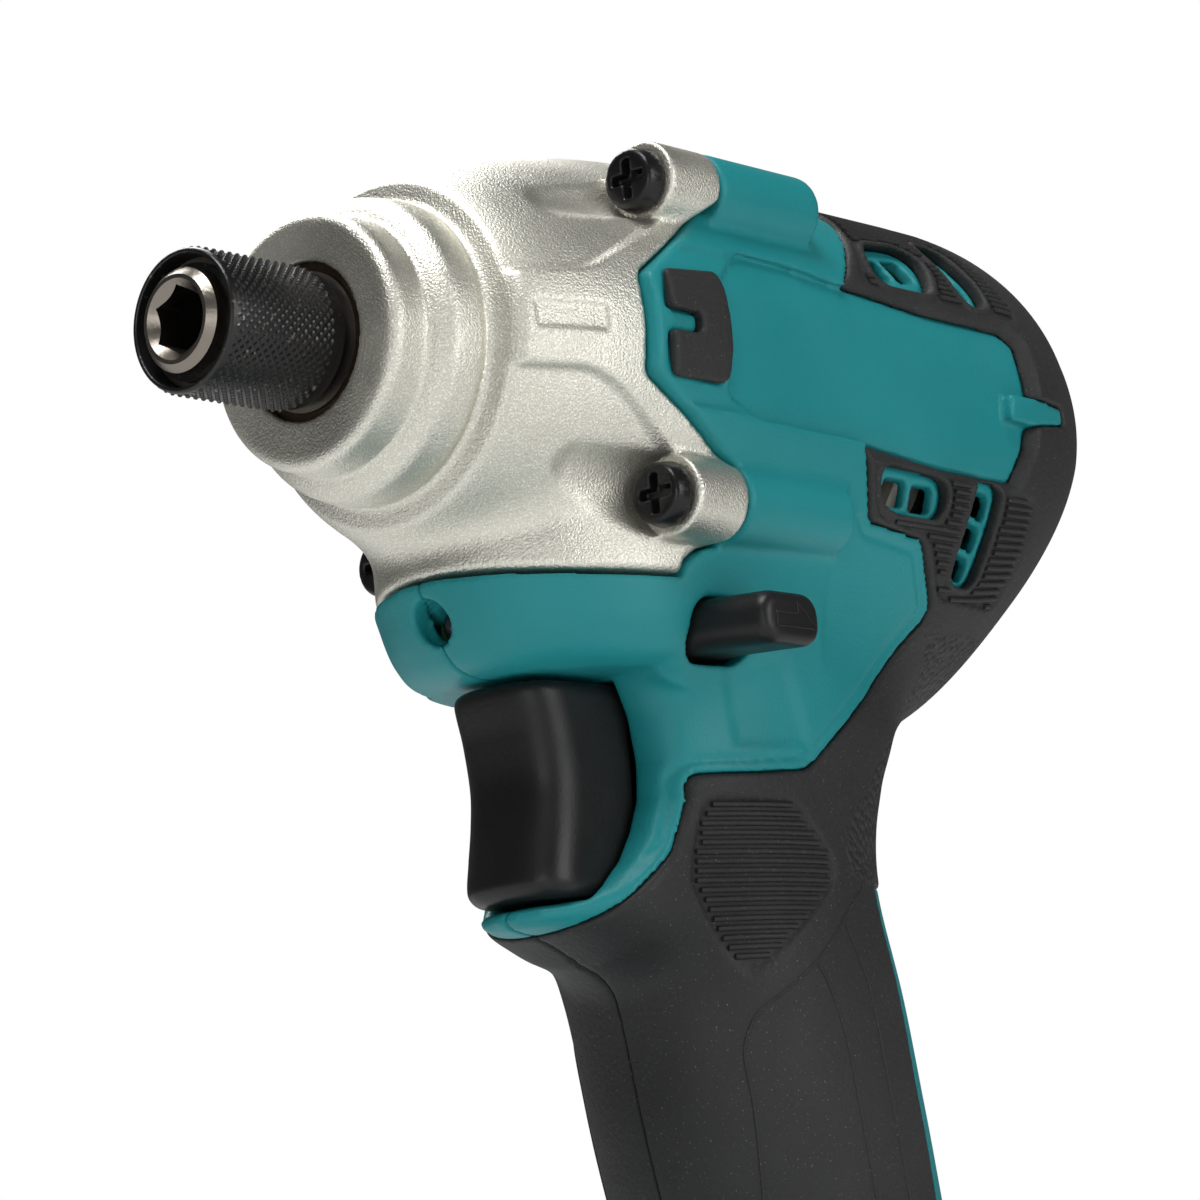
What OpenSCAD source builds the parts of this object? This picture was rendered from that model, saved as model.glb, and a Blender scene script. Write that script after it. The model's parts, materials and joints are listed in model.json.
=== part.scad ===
// Cordless pistol grip impact driver with a hex bit chuck and a slide-on battery pack.
// Stations along the spindle are distances in mm behind the front rim of the bit sleeve.

/* [Overall] */
// Height of the spindle axis above the underside of the battery
spindle_z = 184; // [182:1:192]
// Distance from the battery's centre forward to the sleeve's front rim
nose_x = 82; // [78:1:86]
// Station of the barrel's rear end
barrel_end = 136.4; // [134:0.2:138]
// Gap left between pieces that move past each other
play = 0.3; // [0.2:0.05:0.4]
// Radial clearance of a running fit
fit = 0.05; // [0.02:0.01:0.08]

/* [Bit chuck] */
// Hexagon of the bit, across its flats
hex_af = 6.35; // [6.35:0.05:6.6]
// Depth of the hexagon socket behind the anvil's face
hex_depth = 21; // [16:0.5:22]
// Radius of the anvil's front shaft
anvil_r = 5.45; // [5.3:0.05:5.7]
// How far the anvil stands out of the sleeve
anvil_proud = 0.9; // [0.5:0.1:1.5]
// Outer radius of the bit sleeve
sleeve_r = 7.9; // [7.7:0.05:8.2]
// Length of the bit sleeve
sleeve_len = 16.2; // [15.6:0.1:16.4]
// Pull of the bit sleeve
sleeve_travel = 5; // [3:0.5:5.5]
// Radius of the bit lock balls
lock_ball_r = 1.5; // [1.4:0.05:1.6]
// Wire of the sleeve spring
sleeve_wire = 0.6; // [0.5:0.05:0.6]

/* [Hammer case] */
// Station of the nose face
nose_s = 16.9; // [16.7:0.1:18]
// Radius of the nose
nose_r = 13.8; // [13.4:0.1:14.4]
// Radius of the band behind the nose
band_r = 16.3; // [16:0.1:17]
// Station of the shoulder where the dome starts
shoulder_s = 28.4; // [28:0.1:29]
// Radius of the dome at the shoulder
shoulder_r = 18.2; // [18:0.1:19]
// Radius of the case at its rear
case_r = 25.8; // [25.6:0.1:26.6]
// Station of the case's rear face
case_rear = 62.4; // [62:0.1:64]
// Station of the screw seats
screw_seat = 49.4; // [48:0.1:52]
// Sideways place of the four case screws
boss_y = 20.8; // [20.7:0.1:21.4]
// Height of the four case screws from the spindle axis
boss_z = 17.4; // [17:0.1:18]
// Radius of the four screw bosses
boss_r = 4.5; // [4.2:0.1:4.8]
// Depth of the case's flat skirt below the spindle axis
skirt_z = 25.6; // [25.4:0.1:26.4]

/* [Housing] */
// Half width of the barrel
barrel_w = 26.8; // [26.6:0.1:28]
// Height of the barrel's top above the spindle axis
barrel_top = 25.4; // [25.2:0.1:26.6]
// Wall of the moulded housing
wall = 2.8; // [2.6:0.1:3.2]
// Thickness of the soft skin moulded over the grip and the barrel's rear
skin = 1.5; // [1.2:0.1:1.7]
// Half width of the grip
grip_w = 16.6; // [16:0.1:18]
// Half depth of the grip from front to back
grip_a = 20.4; // [20:0.1:21.6]
// Rearward lean of the grip for each mm of height
grip_lean = 0.18; // [0.15:0.01:0.21]
// Half width of the bare strip along the grip's back
back_strip = 8.5; // [7:0.5:10]

/* [Trigger] */
// Width of the trigger
trigger_w = 17; // [15:0.5:18]
// Height of the trigger's top below the spindle axis
trigger_top = 36.2; // [36:0.1:37]
// Height of the trigger
trigger_h = 20.6; // [19:0.1:21]
// Station of the trigger's front
trigger_s = 40; // [39:0.5:42]
// Travel of the trigger
trigger_travel = 6; // [4:0.5:7]
// Throw of the reversing lever from side to side
lever_throw = 9; // [6:0.5:9]

/* [Impact mechanism] */
// Outer radius of the hammer
hammer_r = 19.8; // [19:0.1:20]
// Rearward travel of the hammer
hammer_travel = 6.5; // [5.8:0.1:6.8]
// Radius of the spindle
spindle_r = 8.2; // [7.8:0.1:8.4]
// Wire of the hammer spring
hammer_wire = 2.2; // [1.8:0.1:2.3]
// Mean coil radius of the hammer spring
hammer_coil_r = 14.4; // [14:0.1:14.8]
// Radius of the cam balls
cam_ball_r = 2.4; // [2.2:0.1:2.5]

/* [Gears] */
// Module of the gears
gear_module = 0.7; // [0.66:0.01:0.71]
// Face width of the planet gears
gear_face = 5; // [4:0.5:5]

/* [Motor] */
// Outer radius of the stator
stator_r = 22.3; // [21.6:0.1:22.6]
// Length of the stator's lamination stack
stack_len = 14; // [12:0.5:15]
// Outer radius of the rotor
rotor_r = 12; // [11:0.1:12.4]
// Radius of the motor shaft
shaft_r = 3; // [2.5:0.1:3]
// Outer radius of the fan
fan_r = 20.5; // [18:0.5:21.5]

/* [Battery] */
// Length of the battery pack
pack_len = 112; // [110:1:116]
// Width of the battery pack
pack_w = 75; // [74:1:78]
// Height of the battery pack's body
pack_h = 38; // [37:0.5:40]
// Radius of one cell
cell_r = 9.15; // [9:0.05:9.3]
// Slide of the battery pack along its rails
pack_travel = 62; // [40:1:66]
// Travel of the battery's release button
button_travel = 4; // [3:0.5:4.5]

/* [Foot] */
// Length of the foot under the grip
foot_len = 84; // [82:1:88]
// Width of the foot
foot_w = 68; // [66:1:72]
// Height of the foot
foot_h = 22; // [21:0.5:23]
// Height of the battery rails
rail_h = 8; // [7:0.5:8.5]

/* [Hidden] */
$fn = 48;
// facets round a moulded section
soft_fn = 24;
big = 400;

teal = "#0d7f88";
black = "#2b2b2d";
silver = "#b9b8ac";
steel = "#8f9194";
dark_steel = "#3c3d40";
copper = "#b06a3a";
brass = "#c2a25a";
board_green = "#2f6b45";

// stations of the mechanism, from the nose backwards
hex_r = (hex_af + 0.1) / 2 / cos(30);
land_len = 3;
washer_s = 2.2;
washer_t = 0.8;
lock_s = washer_s + washer_t + sleeve_travel + 4 * sleeve_wire + 0.1 + land_len / 2;
ring_t = 0.7;
journal_r = 7.5;
bush_r = 10;
bush_len = 13;
bush_s = nose_s + 1;
thrust_s = bush_s + bush_len + 0.2;
thrust_t = 0.8;
wing_s = thrust_s + thrust_t + 0.2;
wing_len = 8;
wing_r = 16.6;
hammer_s = wing_s + wing_len + 0.6;
jaw_len = hammer_travel - 1.1;
hammer_len = 16;
pocket_s = hammer_s + 6;
flange_s = hammer_s + 21;
flange_t = 3;
washer2_t = 0.8;
planet_s = flange_s + flange_t + 0.4;
carrier_rear = planet_s + gear_face + 0.4;
carrier_end = carrier_rear + 3;
carrier_r = 17.4;
gear_case_r = 23;
gear_case_s = case_rear - 4.5;
// the housing laps over the case's rear, up to this station
lap_s = case_rear - 4.6;
spindle_brg_s = carrier_end + 0.5;
spindle_brg_w = 5;
motor_brg_s = spindle_brg_s + spindle_brg_w + 1.2;
motor_brg_w = 5;
motor_brg_r = 8;
gear_case_end = motor_brg_s + motor_brg_w;
fan_s = gear_case_end + 0.8;
fan_len = 5;
coil_len = 5;
stack_s = fan_s + fan_len + coil_len + 1.6;
hall_s = stack_s + stack_len + coil_len + 0.4;
rear_brg_s = hall_s + 4;

// gear train with two planets: the ring stands still and the carrier is the spindle
sun_teeth = 15;
planet_teeth = 21;
ring_teeth = sun_teeth + 2 * planet_teeth;
planet_pitch = gear_module * (sun_teeth + planet_teeth) / 2;
pressure_angle = 20;
backlash = 0.1;
pin_r = 2;

// stations and heights of the moulded body, in the spindle's own frame
foot_z = pack_h + play;
foot_top = foot_z + foot_h - spindle_z;
lever_s = 58.5;
lever_z = -30.6;
led_s = 32.8;
led_z = -28.7;
led_r = 1.9;

function arc(cx, cy, r, a0, a1, n) =
    [for (i = [0 : n]) let (a = a0 + (a1 - a0) * i / n) [cx + r * cos(a), cy + r * sin(a)]];

// local +Z runs backwards along the spindle, local +X points up
module along(s) {
    translate([nose_x - s, 0, spindle_z]) rotate([0, -90, 0]) children();
}

// the spindle's own frame: X forward, Y left, Z up, zero at the sleeve's front rim
module at_nose() {
    translate([nose_x, 0, spindle_z]) children();
}

module ring(s0, s1, ro, ri) {
    along(s0) difference() {
        cylinder(h = s1 - s0, r = ro);
        translate([0, 0, -1]) cylinder(h = s1 - s0 + 2, r = ri);
    }
}

// a side view outline of [station, height] points, swept across the tool from y0 to y1
module side_prism(points, y0, y1) {
    at_nose() translate([0, y1, 0]) rotate([90, 0, 0])
        linear_extrude(y1 - y0) polygon([for (p = points) [-p[0], p[1]]]);
}

// one coil spring: a tube of six sides swept along a helix of n turns, with flat end coils
module coil(wire, mean_r, length, turns, rings_per_turn = 8) {
    rings = ceil(turns * rings_per_turn);
    rise = (length - wire) / rings;
    pts = [for (i = [0 : rings], k = [0 : 5])
        let (a = i * 360 / rings_per_turn, b = k * 60)
        [(mean_r + wire / 2 * cos(b)) * cos(a), (mean_r + wire / 2 * cos(b)) * sin(a),
         wire / 2 + i * rise + wire / 2 * sin(b)]];
    sides = [for (i = [0 : rings - 1], k = [0 : 5])
        let (a = i * 6 + k, b = i * 6 + (k + 1) % 6) each [[a, b, b + 6], [a, b + 6, a + 6]]];
    caps = concat([for (k = [1 : 4]) [0, k + 1, k]],
        [for (k = [1 : 4]) [rings * 6, rings * 6 + k, rings * 6 + k + 1]]);
    polyhedron(points = pts, faces = concat(sides, caps));
}

// least gap between neighbouring turns of a spring
function coil_gap(wire, length, turns) = (length - wire) / turns - wire;

// involute gear outline, external teeth
function inv_point(rb, t) = [rb * (cos(t) + t * PI / 180 * sin(t)), rb * (sin(t) - t * PI / 180 * cos(t))];
function roll_at(rb, r) = r <= rb ? 0 : sqrt(r * r / (rb * rb) - 1) * 180 / PI;
function flank_angle(rb, r) = let (p = inv_point(rb, roll_at(rb, r))) atan2(p[1], p[0]);
function turn(p, a) = [p[0] * cos(a) - p[1] * sin(a), p[0] * sin(a) + p[1] * cos(a)];

module involute(teeth, tip, root, thickness) {
    rp = gear_module * teeth / 2;
    rb = rp * cos(pressure_angle);
    half = thickness / rp / 2 * 180 / PI + flank_angle(rb, rp);
    start = max(rb, root);
    radii = [for (i = [0 : 3]) start + (tip - start) * i / 3];
    polygon([for (k = [0 : teeth - 1]) let (mid = k * 360 / teeth) each concat(
        [let (a = mid - half + flank_angle(rb, start)) [root * cos(a), root * sin(a)]],
        [for (r = radii) let (a = mid - half + flank_angle(rb, r)) [r * cos(a), r * sin(a)]],
        [for (i = [3 : -1 : 0]) let (r = radii[i], a = mid + half - flank_angle(rb, r))
            [r * cos(a), r * sin(a)]],
        [let (a = mid + half - flank_angle(rb, start)) [root * cos(a), root * sin(a)]])]);
}

module spur(teeth) {
    rp = gear_module * teeth / 2;
    involute(teeth, rp + 0.9 * gear_module, rp - 1.15 * gear_module, PI * gear_module / 2 - backlash);
}

// closed outline of a moulded section: half width, top, bottom, squareness above and below its middle
function lobe(c, n) = sign(c) * pow(abs(c), 2 / n);
function oval(w, top, low, n_top, n_low) = [for (i = [0 : soft_fn - 1])
    let (a = 360 * (i + 0.5) / soft_fn, n = sin(a) > 0 ? n_top : n_low)
    [w * lobe(cos(a), n), (sin(a) > 0 ? top : low) * lobe(sin(a), n)]];

// closed skin through a row of rings with equal counts of points
module loft(rings) {
    n = len(rings[0]);
    last = (len(rings) - 1) * n;
    polyhedron(points = [for (r = rings) each r], faces = concat(
        [[for (i = [0 : n - 1]) i]],
        [[for (i = [n - 1 : -1 : 0]) last + i]],
        [for (j = [0 : len(rings) - 2], i = [0 : n - 1]) let (k = (i + 1) % n, u = j * n, v = u + n)
            each [[u + i, v + k, u + k], [u + i, v + i, v + k]]]));
}

// sections of the barrel: station, half width, top, bottom, squareness below, inward lean
barrel_sections = [
    [43, barrel_w - 0.6, barrel_top, 26, 2, 0],
    [62, barrel_w, barrel_top, 32, 1.9, 0],
    [86, barrel_w, barrel_top, 39.5, 1.75, 0],
    [97, barrel_w, barrel_top, 40, 1.75, 0.1],
    [barrel_end - 28, barrel_w - 0.3, barrel_top, 36, 1.8, 0.2],
    [barrel_end - 17, barrel_w - 1.4, barrel_top - 0.4, 28, 1.9, 0.4],
    [barrel_end - 8, barrel_w - 5.2, barrel_top - 3.2, 19, 2, 0.75],
    [barrel_end - 2.6, barrel_w - 11.5, barrel_top - 8.4, 12, 2, 0.95],
    [barrel_end, barrel_w - 19, barrel_top - 15.4, 6, 2, 1]];
module barrel_form(inset) {
    loft([for (p = barrel_sections) let (lean = p[5], side = inset * sqrt(1 - lean * lean))
        [for (q = oval(p[1] - side, p[2] - side, p[3] - side, 2, p[4]))
            [nose_x - p[0] + inset * lean, -q[0], spindle_z + q[1]]]]);
}

// sections of the neck, grip and foot:
// height, station of the middle, half depth, half width, squareness, lean
function grip_mid(z) = 78.4 - (z + 68) * grip_lean;
foot_mid = nose_x + 2;
foot_low = foot_z - spindle_z;
grip_sections = [
    [-20, 72, 34, 19.5, 2.2, 0],
    [-30, 72.5, 26, 19, 2.2, 0],
    [-38, 71.5, 22.6, 18.2, 2.2, 0],
    [-47, 72.8, grip_a + 2.7, grip_w + 0.6, 2.2, 0],
    [-57, 75.4, grip_a + 1.6, grip_w + 0.2, 2.2, 0],
    [-68, grip_mid(-68), grip_a + 0.6, grip_w, 2.2, 0],
    [-82, grip_mid(-82), grip_a, grip_w, 2.2, 0],
    [-104, grip_mid(-104), grip_a - 1, grip_w - 0.4, 2.2, 0],
    [foot_top + 4, grip_mid(foot_top + 4), grip_a + 0.6, grip_w + 0.8, 2.4, 0.4],
    [foot_top - 0.6, foot_mid, foot_len / 2 - 6, foot_w / 2 - 6, 4, 0.9],
    [foot_top - 4, foot_mid, foot_len / 2 - 1.4, foot_w / 2 - 1.4, 5, 0.5],
    [foot_top - 9, foot_mid, foot_len / 2, foot_w / 2, 6, 0]];
module grip_form(inset) {
    floor_z = foot_low + (inset > 0 ? rail_h + foot_floor : inset);
    loft([for (p = concat(grip_sections, [[floor_z, foot_mid, foot_len / 2 - 0.6, foot_w / 2 - 0.6, 6, 0]]))
        let (lean = p[5], side = inset * sqrt(1 - lean * lean))
        [for (q = oval(p[2] - side, p[3] - side, p[3] - side, p[4], p[4]))
            [nose_x - p[1] + q[0], -q[1], spindle_z + p[0] - inset * lean]]]);
}

// plan outline shared by the case's skirt and the housing's chin below it: a half ellipse
chin_front = 31.6;
chin_back = lap_s - 0.2;
chin_w = boss_y - 1;
function chin_plan(front, half) = [for (i = [0 : 16]) let (a = -90 + 180 * i / 16)
    [-chin_back + (chin_back - front) * cos(a), half * sin(a)]];
module chin_form(inset) {
    levels = [[-skirt_z - play - inset / 3, 0, 0], [-30 + inset / 3, 1.4, 0.4], [-33 + inset / 2, 4.2, 1.6],
        [-35.4 + inset, 9.6, 4.6]];
    loft([for (l = levels) [for (q = chin_plan(chin_front + l[1] + inset, chin_w - l[2] - inset))
        [nose_x + q[0], -q[1], spindle_z + l[0]]]]);
}

// lip below the trigger and the rim that rises from it beside the trigger: station, half width, top, bottom
guard_sections = [[40.8, 2.6, -59.2, -60.6], [42.4, 5.4, -58.8, -61.9], [46.6, 8.8, -57.4, -63.4],
    [50.2, 11.4, -54.2, -64.6], [53, 12.4, -49.6, -65.6], [58, 13, -46, -66.4], [66, 13.4, -44, -67]];
module guard_form(inset) {
    shrunk = 1 - inset / 5;
    loft([for (p = guard_sections) let (half = (p[2] - p[3]) / 2)
        [for (q = oval(p[1] * shrunk, half * shrunk, half * shrunk, 3.4, 2.2))
            [nose_x - p[0] - inset / 2, -q[0], spindle_z + p[3] + half + q[1]]]]);
}

// the whole moulded body, drawn inwards by an even amount
module body_form(inset) {
    barrel_form(inset);
    grip_form(inset);
    chin_form(inset);
    guard_form(inset);
}

// outline of the soft skin, seen from the side
panel_rear = 110.6;
skin_outline = concat(
    [[88, big], [87.4, 18], [82.4, 9.2], [panel_rear - 3, 8.7]],
    [[panel_rear - 0.4, 6], [panel_rear, 0], [panel_rear - 0.7, -6.4], [panel_rear - 3, -10.5]],
    [[80.4, -10], [81, -16.8], [88.6, -18.6], [95, -24.2], [96.4, -28.8], [76.6, -45], [58.4, -46]],
    [[57.2, -47.4], [57, -52.8], [56, -56.6], [49, -61], [44.4, -62.7], [38, -64.4], [38, foot_top + 3]],
    [[big, foot_top + 3], [big, big]]);

// bare strip of the housing along the grip's back
module back_bare() {
    at_nose() translate([-grip_mid(-68) - 60, -back_strip, foot_top - 20])
        cube([60, 2 * back_strip, -57.5 - foot_top + 20]);
}

// windows of the cooling vents: station, height, turn, width and height of each pane
vent_panes = [[86.6, -13.7, 0, 4.2, 2.9], [91.7, -14, 0, 4.2, 2.9], [102.9, -13.7, 10, 3.2, 2.8],
    [102.2, -17.2, 10, 3.2, 2.8], [101.4, -20.6, 10, 3.2, 2.6], [89.6, 13.1, -8, 4.1, 3.1],
    [94.4, 13.7, -8, 4.1, 3.1], [104.4, 12, -6, 3, 2.4], [104.2, 14.8, -6, 3, 2.4], [103.9, 17.4, -6, 3, 2.2]];
vent_rim = 1.1;
pane_corner = 0.6;
module vent_prism(grow) {
    for (p = vent_panes) at_nose() translate([-p[0], 0, p[1]]) rotate([90, -p[2], 0]) hull()
        for (u = [-1, 1], v = [-1, 1])
            translate([u * (p[3] / 2 - pane_corner), v * (p[4] / 2 - pane_corner), 0])
            cylinder(h = big, r = pane_corner + grow, center = true, $fn = 8);
}
module vents(grow) {
    difference() {
        vent_prism(grow);
        along(0) cylinder(h = big, r = stator_r - 4);
    }
}

// forward prow of the housing that laps over the hammer case on each side
prow = [[lap_s + 0.2, 15.4], [44.6, 5.6], [44.4, -5.2], [lap_s + 0.2, -14], [lap_s + 20, -14],
    [lap_s + 20, 15.4]];
prow_in = 23.4;

// housing screws: station, height, depth of the head from the parting plane
screw_places = [[123.6, 13.2, 14], [104, -30.6, 9], [45.5, -30.5, 12], [89.5, -52.5, 10.5],
    [83, -112, 10.5],
    [62, foot_z + foot_h - 6 - spindle_z, 22], [116, foot_z + foot_h - 6 - spindle_z, 22]];
screw_r = 1.5;

module screw_bosses() {
    for (p = screw_places) at_nose() translate([-p[0], 0, p[1]]) rotate([90, 0, 0])
        cylinder(h = big, r = 4.5, center = true, $fn = 20);
}

module screw_holes() {
    for (p = screw_places) at_nose() translate([-p[0], 0, p[1]]) rotate([90, 0, 0]) {
        translate([0, 0, p[2]]) cylinder(h = big, r = 3.3, $fn = 20);
        cylinder(h = big, r = screw_r + 0.2, $fn = 16);
        translate([0, 0, -11]) cylinder(h = 12, r = screw_r + fit, $fn = 16);
    }
}

// radius of a many-sided seat that clears a round piece
seat_sides = 30;
function seat(r) = (r + fit) / cos(180 / seat_sides);

// ribs and seats inside the housing that hold the mechanism
rib_r = 34;
module inner_seats() {
    for (s = [stack_s + 1, stack_s + stack_len - 3]) ring(s, s + 2, rib_r, seat(stator_r));
    ring(gear_case_s + 9, gear_case_s + 11.5, rib_r, seat(gear_case_r));
    ring(rear_brg_s, rear_brg_s + motor_brg_w + 1.5, rib_r, seat(motor_brg_r));
    for (z = [-42, -54]) at_nose() for (side = [-1, 1])
        translate([-82, side > 0 ? switch_w / 2 + play : -switch_w / 2 - play - 20, z]) cube([24, 20, 1.6]);
    screw_bosses();
}

switch_w = 20;
switch_s = 62;
switch_len = 22;
switch_top = -37.4;
switch_h = 20.6;

// opening in the front of the neck that the trigger slides into
module trigger_slot() {
    slot_low = -trigger_top - trigger_h - play;
    at_nose() translate([-trigger_rear - trigger_travel - play, -trigger_w / 2 - play, slot_low])
        cube([60, trigger_w + 2 * play, trigger_h + 2 * play]);
}

module housing_cuts() {
    // bore that takes the rear of the hammer case and the mechanism
    along(0) {
        translate([0, 0, 30]) cylinder(h = case_rear - 30 + 0.2, r = prow_in, $fn = 40);
        translate([0, 0, case_rear - 1])
            cylinder(h = gear_case_end - case_rear + 1.6, r = gear_case_r + 0.8, $fn = 40);
    }
    // what the case covers in front of the prow
    difference() {
        along(0) cylinder(h = lap_s + 0.2, r = big);
        side_prism(prow, -big, big);
        at_nose() translate([-big, -big, -big - skirt_z - play]) cube([2 * big, 2 * big, big]);
    }
    trigger_slot();
    // lever slot
    at_nose() translate([-lever_s - lever_len / 2 - play, -big, lever_z - lever_h / 2 - play])
        cube([lever_len + 2 * play, 2 * big, lever_h + 2 * play]);
    // lamp hole
    along(led_s - 10) translate([led_z, 0, 0]) cylinder(h = 17.6, r = led_r + 2 * fit, $fn = 20);
    // channel for the battery rails, open to the front
    rail_channel();
    // pockets for the side pads
    for (side = [-1, 1]) side_pad(side, play / 6);
    screw_holes();
    vents(0);
    hook_seats();
    // pilot holes of the case screws
    for (y = [-boss_y, boss_y], z = [-boss_z, boss_z]) along(lap_s - 1) translate([z, y, 0])
        cylinder(h = case_rear - lap_s + case_screw_len + 2, r = case_screw_r + fit, $fn = 16);
}

module rail_channel() {
    at_nose() translate([-nose_x, 0, foot_z - spindle_z]) {
        translate([foot_rear_wall, -rail_w / 2 - play, 3])
            cube([big, rail_w + 2 * play, rail_h - 3 + play]);
        translate([foot_rear_wall, -rail_w / 2 + 3 - play, -1]) cube([big, rail_w - 6 + 2 * play, 5]);
    }
}
// the pack's rails are all but clear of the foot at the end of its slide
rail_w = foot_w - 18;
rail_rear = foot_len / 2 - 6 - pack_travel;
block_len = 7.5;
block_x = rail_rear - 0.5 - block_len;
foot_rear_wall = block_x - 0.1;

hook_x = -14;
hook_z = foot_z + 8.5;
nut_len = 8;
nut_y = foot_w / 2 - nut_len / 2 - 0.4;
nut_r = 3.2;
m4_r = 1.65;
module hook_seats() {
    for (side = [-1, 1]) translate([hook_x, side * (foot_w / 2 - nut_len / 2 - 0.4), hook_z])
        rotate([90, 0, 0])
        cylinder(h = nut_len + 0.1, r = nut_r + fit, center = true, $fn = 6);
    for (side = [-1, 1]) translate([hook_x, side * (foot_w / 2 - 2), hook_z]) rotate([90, 0, 0])
        cylinder(h = 6, r = m4_r + 0.6, center = true, $fn = 24);
}

lever_len = 11;
lever_h = 6.6;

module half_space(side) {
    translate([-big, side > 0 ? 0 : -2 * big, -big]) cube([2 * big, 2 * big, 2 * big]);
}

// flat panel sunk into each side
panel = [[58.2, 7.6], [63, 9.4], [panel_rear - 2.6, 8.9], [panel_rear + 0.2, 6.2], [panel_rear + 0.6, 0],
    [panel_rear - 0.3, -6.5], [panel_rear - 2.8, -10.8], [82, -10.3], [58.4, -9], [55.8, -6.4], [55.8, 5.4]];
panel_edge = 0.5;
panel_half = barrel_w - 1.6;
module panel_recess() {
    difference() {
        at_nose() translate([0, big, 0]) rotate([90, 0, 0]) linear_extrude(2 * big)
            offset(delta = skin_gap) polygon([for (p = panel) [-p[0], p[1]]]);
        intersection() {
            barrel_form(panel_edge);
            translate([-big, -panel_half, -big]) cube([2 * big, 2 * panel_half, 2 * big]);
        }
    }
}

// screw bosses that run back from the case
module boss_tails() {
    for (y = [-boss_y, boss_y], up = [-1, 1]) hull() {
        along(lap_s + 0.2) translate([up * boss_z, y, 0]) cylinder(h = 12, r = boss_r, $fn = 24);
        along(lap_s + 15.2) translate([up * (boss_z - 0.8), y * 0.97, 0])
            sphere(boss_r - 0.6, $fn = 16);
    }
}

// space of the soft skin, from an outer inset to an inner one
module skin_region(outer, inner) {
    difference() {
        intersection() {
            body_form(outer);
            side_prism(skin_outline, -big, big);
        }
        body_form(inner);
        side_prism(panel, -big, big);
        back_bare();
    }
}

skin_gap = 0.04;
module housing_half(side) {
    $fn = seat_sides;
    intersection() {
        half_space(side);
        difference() {
            union() {
                difference() {
                    union() {
                        body_form(0);
                        boss_tails();
                    }
                    body_form(wall);
                }
                intersection() {
                    body_form(wall / 2);
                    inner_seats();
                }
            }
            skin_region(-1, skin + skin_gap);
            panel_recess();
            housing_cuts();
        }
    }
}

module overmould_half(side) {
    intersection() {
        half_space(side);
        difference() {
            skin_region(0, skin);
            vents(vent_rim);
            screw_holes();
            trigger_slot();
        }
    }
}

module housing_left() { color(teal) housing_half(1); }
module housing_right() { color(teal) housing_half(-1); }
module overmould_left() { color(black) overmould_half(1); }
module overmould_right() { color(black) overmould_half(-1); }

// rubber pads on the prow, each with a notch at its front
pad = [[46.3, 6.2], [54.8, 6.9], [55.4, 5.2], [55.4, -1.6], [54.8, -5.6], [46.6, -5.8], [46.2, -4.9],
    [46.2, -0.7], [50.6, -0.7], [50.8, 1.5], [46.2, 1.6]];
pad_in = barrel_w - 1.4;
module side_pad(side, grow) {
    side_prism(pad, side > 0 ? pad_in - grow : -barrel_w - 0.4, side > 0 ? barrel_w + 0.4 : -pad_in + grow);
}
module side_pads() {
    color(black) for (side = [-1, 1]) side_pad(side, 0);
}

module housing_screws() {
    color(dark_steel) for (p = screw_places) at_nose() translate([-p[0], 0, p[1]]) rotate([90, 0, 0]) {
        translate([0, 0, p[2] + fit]) cylinder(h = 2.2, r = 3);
        translate([0, 0, -10]) cylinder(h = p[2] + 11, r = screw_r);
    }
}

module hook_nuts() {
    color(brass) for (side = [-1, 1]) translate([hook_x, side * nut_y, hook_z]) rotate([90, 0, 0])
        difference() {
            cylinder(h = nut_len, r = nut_r, center = true, $fn = 6);
            cylinder(h = nut_len + 2, r = m4_r, center = true);
        }
}

// die-cast case round the impact mechanism
function dome(s) = let (t = (s - shoulder_s) / (case_rear - shoulder_s))
    shoulder_r + (case_r - shoulder_r) * (1 - (1 - t) * (1 - t));
nose_fillet = 1.3;
lip_r = 8.4;
spigot_r = 22.2;
spigot_len = 2.4;
chamber_r = hammer_r + 0.8;
case_profile = concat(
    [[lip_r, nose_s]],
    arc(nose_r - nose_fillet, nose_s + nose_fillet, nose_fillet, -90, 0, 4),
    [[nose_r, nose_s + 4.4], [band_r - 0.4, nose_s + 6.2], [band_r, nose_s + 7.4],
        [band_r, shoulder_s - 0.7]],
    [for (i = [0 : 8]) let (s = shoulder_s + (lap_s - shoulder_s) * i / 8) [dome(s), s]],
    [[prow_in - play - fit, lap_s], [prow_in - play - fit, case_rear]],
    [[spigot_r + fit, case_rear], [spigot_r + fit, case_rear - spigot_len - 0.2]],
    [[chamber_r, case_rear - spigot_len - 0.2], [chamber_r, hammer_s - 0.8], [wing_r + 0.7, hammer_s - 3]],
    [[wing_r + 0.7, thrust_s], [bush_r, thrust_s], [bush_r, bush_s], [lip_r, bush_s]]);

// raised band along each side of the dome, spreading towards the rear
band_rise = 0.7;
band_end = lap_s - 4 * fit;
band = [[shoulder_s + 0.4, 5.2], [38.6, 6], [46.7, 10.6], [band_end, boss_z], [band_end, -boss_z],
    [47.5, -11.7], [37.6, -5.4], [shoulder_s + 0.4, -5.2]];
module case_band() {
    band_s = [for (i = [0 : 5]) shoulder_s + 1 + (lap_s - shoulder_s) * i / 5];
    intersection() {
        along(0) rotate_extrude() polygon(concat([for (s = band_s) [dome(s) + band_rise, s]],
            [for (i = [5 : -1 : 0]) [dome(band_s[i]) - 1, band_s[i]]]));
        side_prism(band, -big, big);
    }
}

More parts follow.
